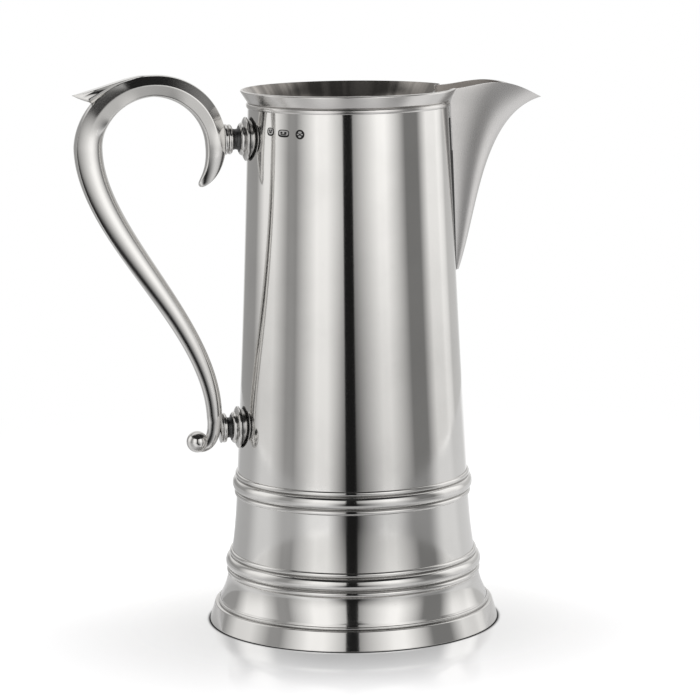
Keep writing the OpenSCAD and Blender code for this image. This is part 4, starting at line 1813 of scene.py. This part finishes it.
    def floor_material(self) -> bpy.types.Material:
        """Makes the pale, faintly polished floor, which fades into the white background, with a painted
        contact shadow round the foot.

        Returns:
            The new material.
        """
        material = bpy.data.materials.new("floor_white")
        material.use_nodes = True
        sheet = NodeSheet(material.node_tree)
        x, y, _ = sheet.split(sheet.wire("ShaderNodeTexCoord", "Object"))
        reach = (x * x + y * y).maths("SQRT")
        aside, front = self.from_camera(x, y)
        camera_ray = sheet.wire("ShaderNodeLightPath", "Is Camera Ray")
        glossy_ray = sheet.wire("ShaderNodeLightPath", "Is Glossy Ray")
        # Painted contact shadow: a near-black ring just round the foot, where the floor's lift and sheen are
        # also turned off.
        clear_of_contact_shadow = reach.step(self.foot_radius * MM, self.foot_radius * MM + self.foot_shadow * MM)
        tone = sheet.blend(clear_of_contact_shadow, self.painted_contact_shadow_tone, self.floor_tone)
        matt = sheet.node("ShaderNodeBsdfDiffuse", None, {"Color": tone})
        seen_level = self.floor_level - self.floor_shade(aside, front, reach)
        lift = sheet.glow((camera_ray * seen_level + glossy_ray * 0.25) * clear_of_contact_shadow)
        pale = sheet.node("ShaderNodeAddShader", None, {0: matt.outputs[0], 1: lift.outputs[0]})
        gloss = sheet.node("ShaderNodeBsdfGlossy", None, {"Color": WHITE, "Roughness": 0.1})
        sheen = sheet.mix(reach.step(140 * MM, 58 * MM) * 0.5 * clear_of_contact_shadow, pale, gloss)
        mirrored = sheet.glow(self.mirrored_light(aside, front))
        seen = sheet.mix(reach.step(90 * MM, 200 * MM) * glossy_ray, sheen, mirrored)
        edge = self.floor_radius * MM
        mixed = sheet.mix(reach.step(0.3 * edge, 0.8 * edge) * camera_ray, seen, sheet.glow(1.0))
        sheet.node("ShaderNodeOutputMaterial", None, {"Surface": mixed.outputs[0]})
        return material

    def make_floor(self) -> None:
        """Lays the round floor."""
        Bench.clear()
        bpy.ops.mesh.primitive_circle_add(vertices=128, radius=self.floor_radius * MM, fill_type="NGON")
        floor = Bench.named("floor")
        floor.data.materials.append(self.floor_material())

    def make(self) -> None:
        """Sets up the whole studio."""
        self.make_camera()
        self.make_tent()
        for softbox in self.softboxes:
            softbox.make(self.turn)
        self.make_floor()
        bpy.context.scene.view_settings.view_transform = "Standard"


# The lighter relief of the first two marks sits a little high on its field, so that more of the painted shade
# shows below it.
MARKS = (
    Punch("left_mark", bearing=-150.9, height=208.9, width=4.2, tall=3.4, squareness=0.8, spots=(
        (0.0, 0.1, 0.74, 0.72, WORN_INK), (-0.3, 0.3, 0.2, 0.2, RECESS_SHADE), (0.32, 0.34, 0.2, 0.2, RECESS_SHADE),
        (0.0, -0.12, 0.34, 0.2, RECESS_SHADE))),
    Punch("middle_mark", bearing=-140.8, height=208.6, width=5.8, tall=3.1, squareness=0.62, spots=(
        (0.0, 0.12, 0.84, 0.66, WORN_INK), (-0.36, 0.15, 0.18, 0.26, RECESS_SHADE), (0.34, 0.15, 0.2, 0.28, RECESS_SHADE),
        (0.0, -0.3, 0.5, 0.14, RECESS_SHADE))),
    Punch("right_mark", bearing=-129.8, height=208.5, width=4.1, tall=3.9, squareness=1.0, spots=(
        (0.0, 0.42, 0.4, 0.24, WORN_INK), (-0.44, 0.02, 0.26, 0.14, WORN_INK),
        (0.44, 0.02, 0.26, 0.14, WORN_INK), (-0.02, -0.42, 0.34, 0.22, WORN_INK))))


def main() -> None:
    """Builds the flagon and its studio in order."""
    logging.basicConfig(level=logging.INFO, format="%(name)s: %(message)s")
    vessel = Vessel(marks=MARKS)
    upper = Fixing("upper", height=204.4, length=9.5, rosette_radius=9.1, collar_depth=2.2)
    lower = Fixing("lower", height=84.0, length=8.0, rosette_radius=8.8, collar_depth=1.5)
    for assembly in (Studio(vessel.foot_radius), vessel, Spout(), Handle(upper, lower), upper, lower):
        assembly.make()


if __name__ == "__main__":
    main()
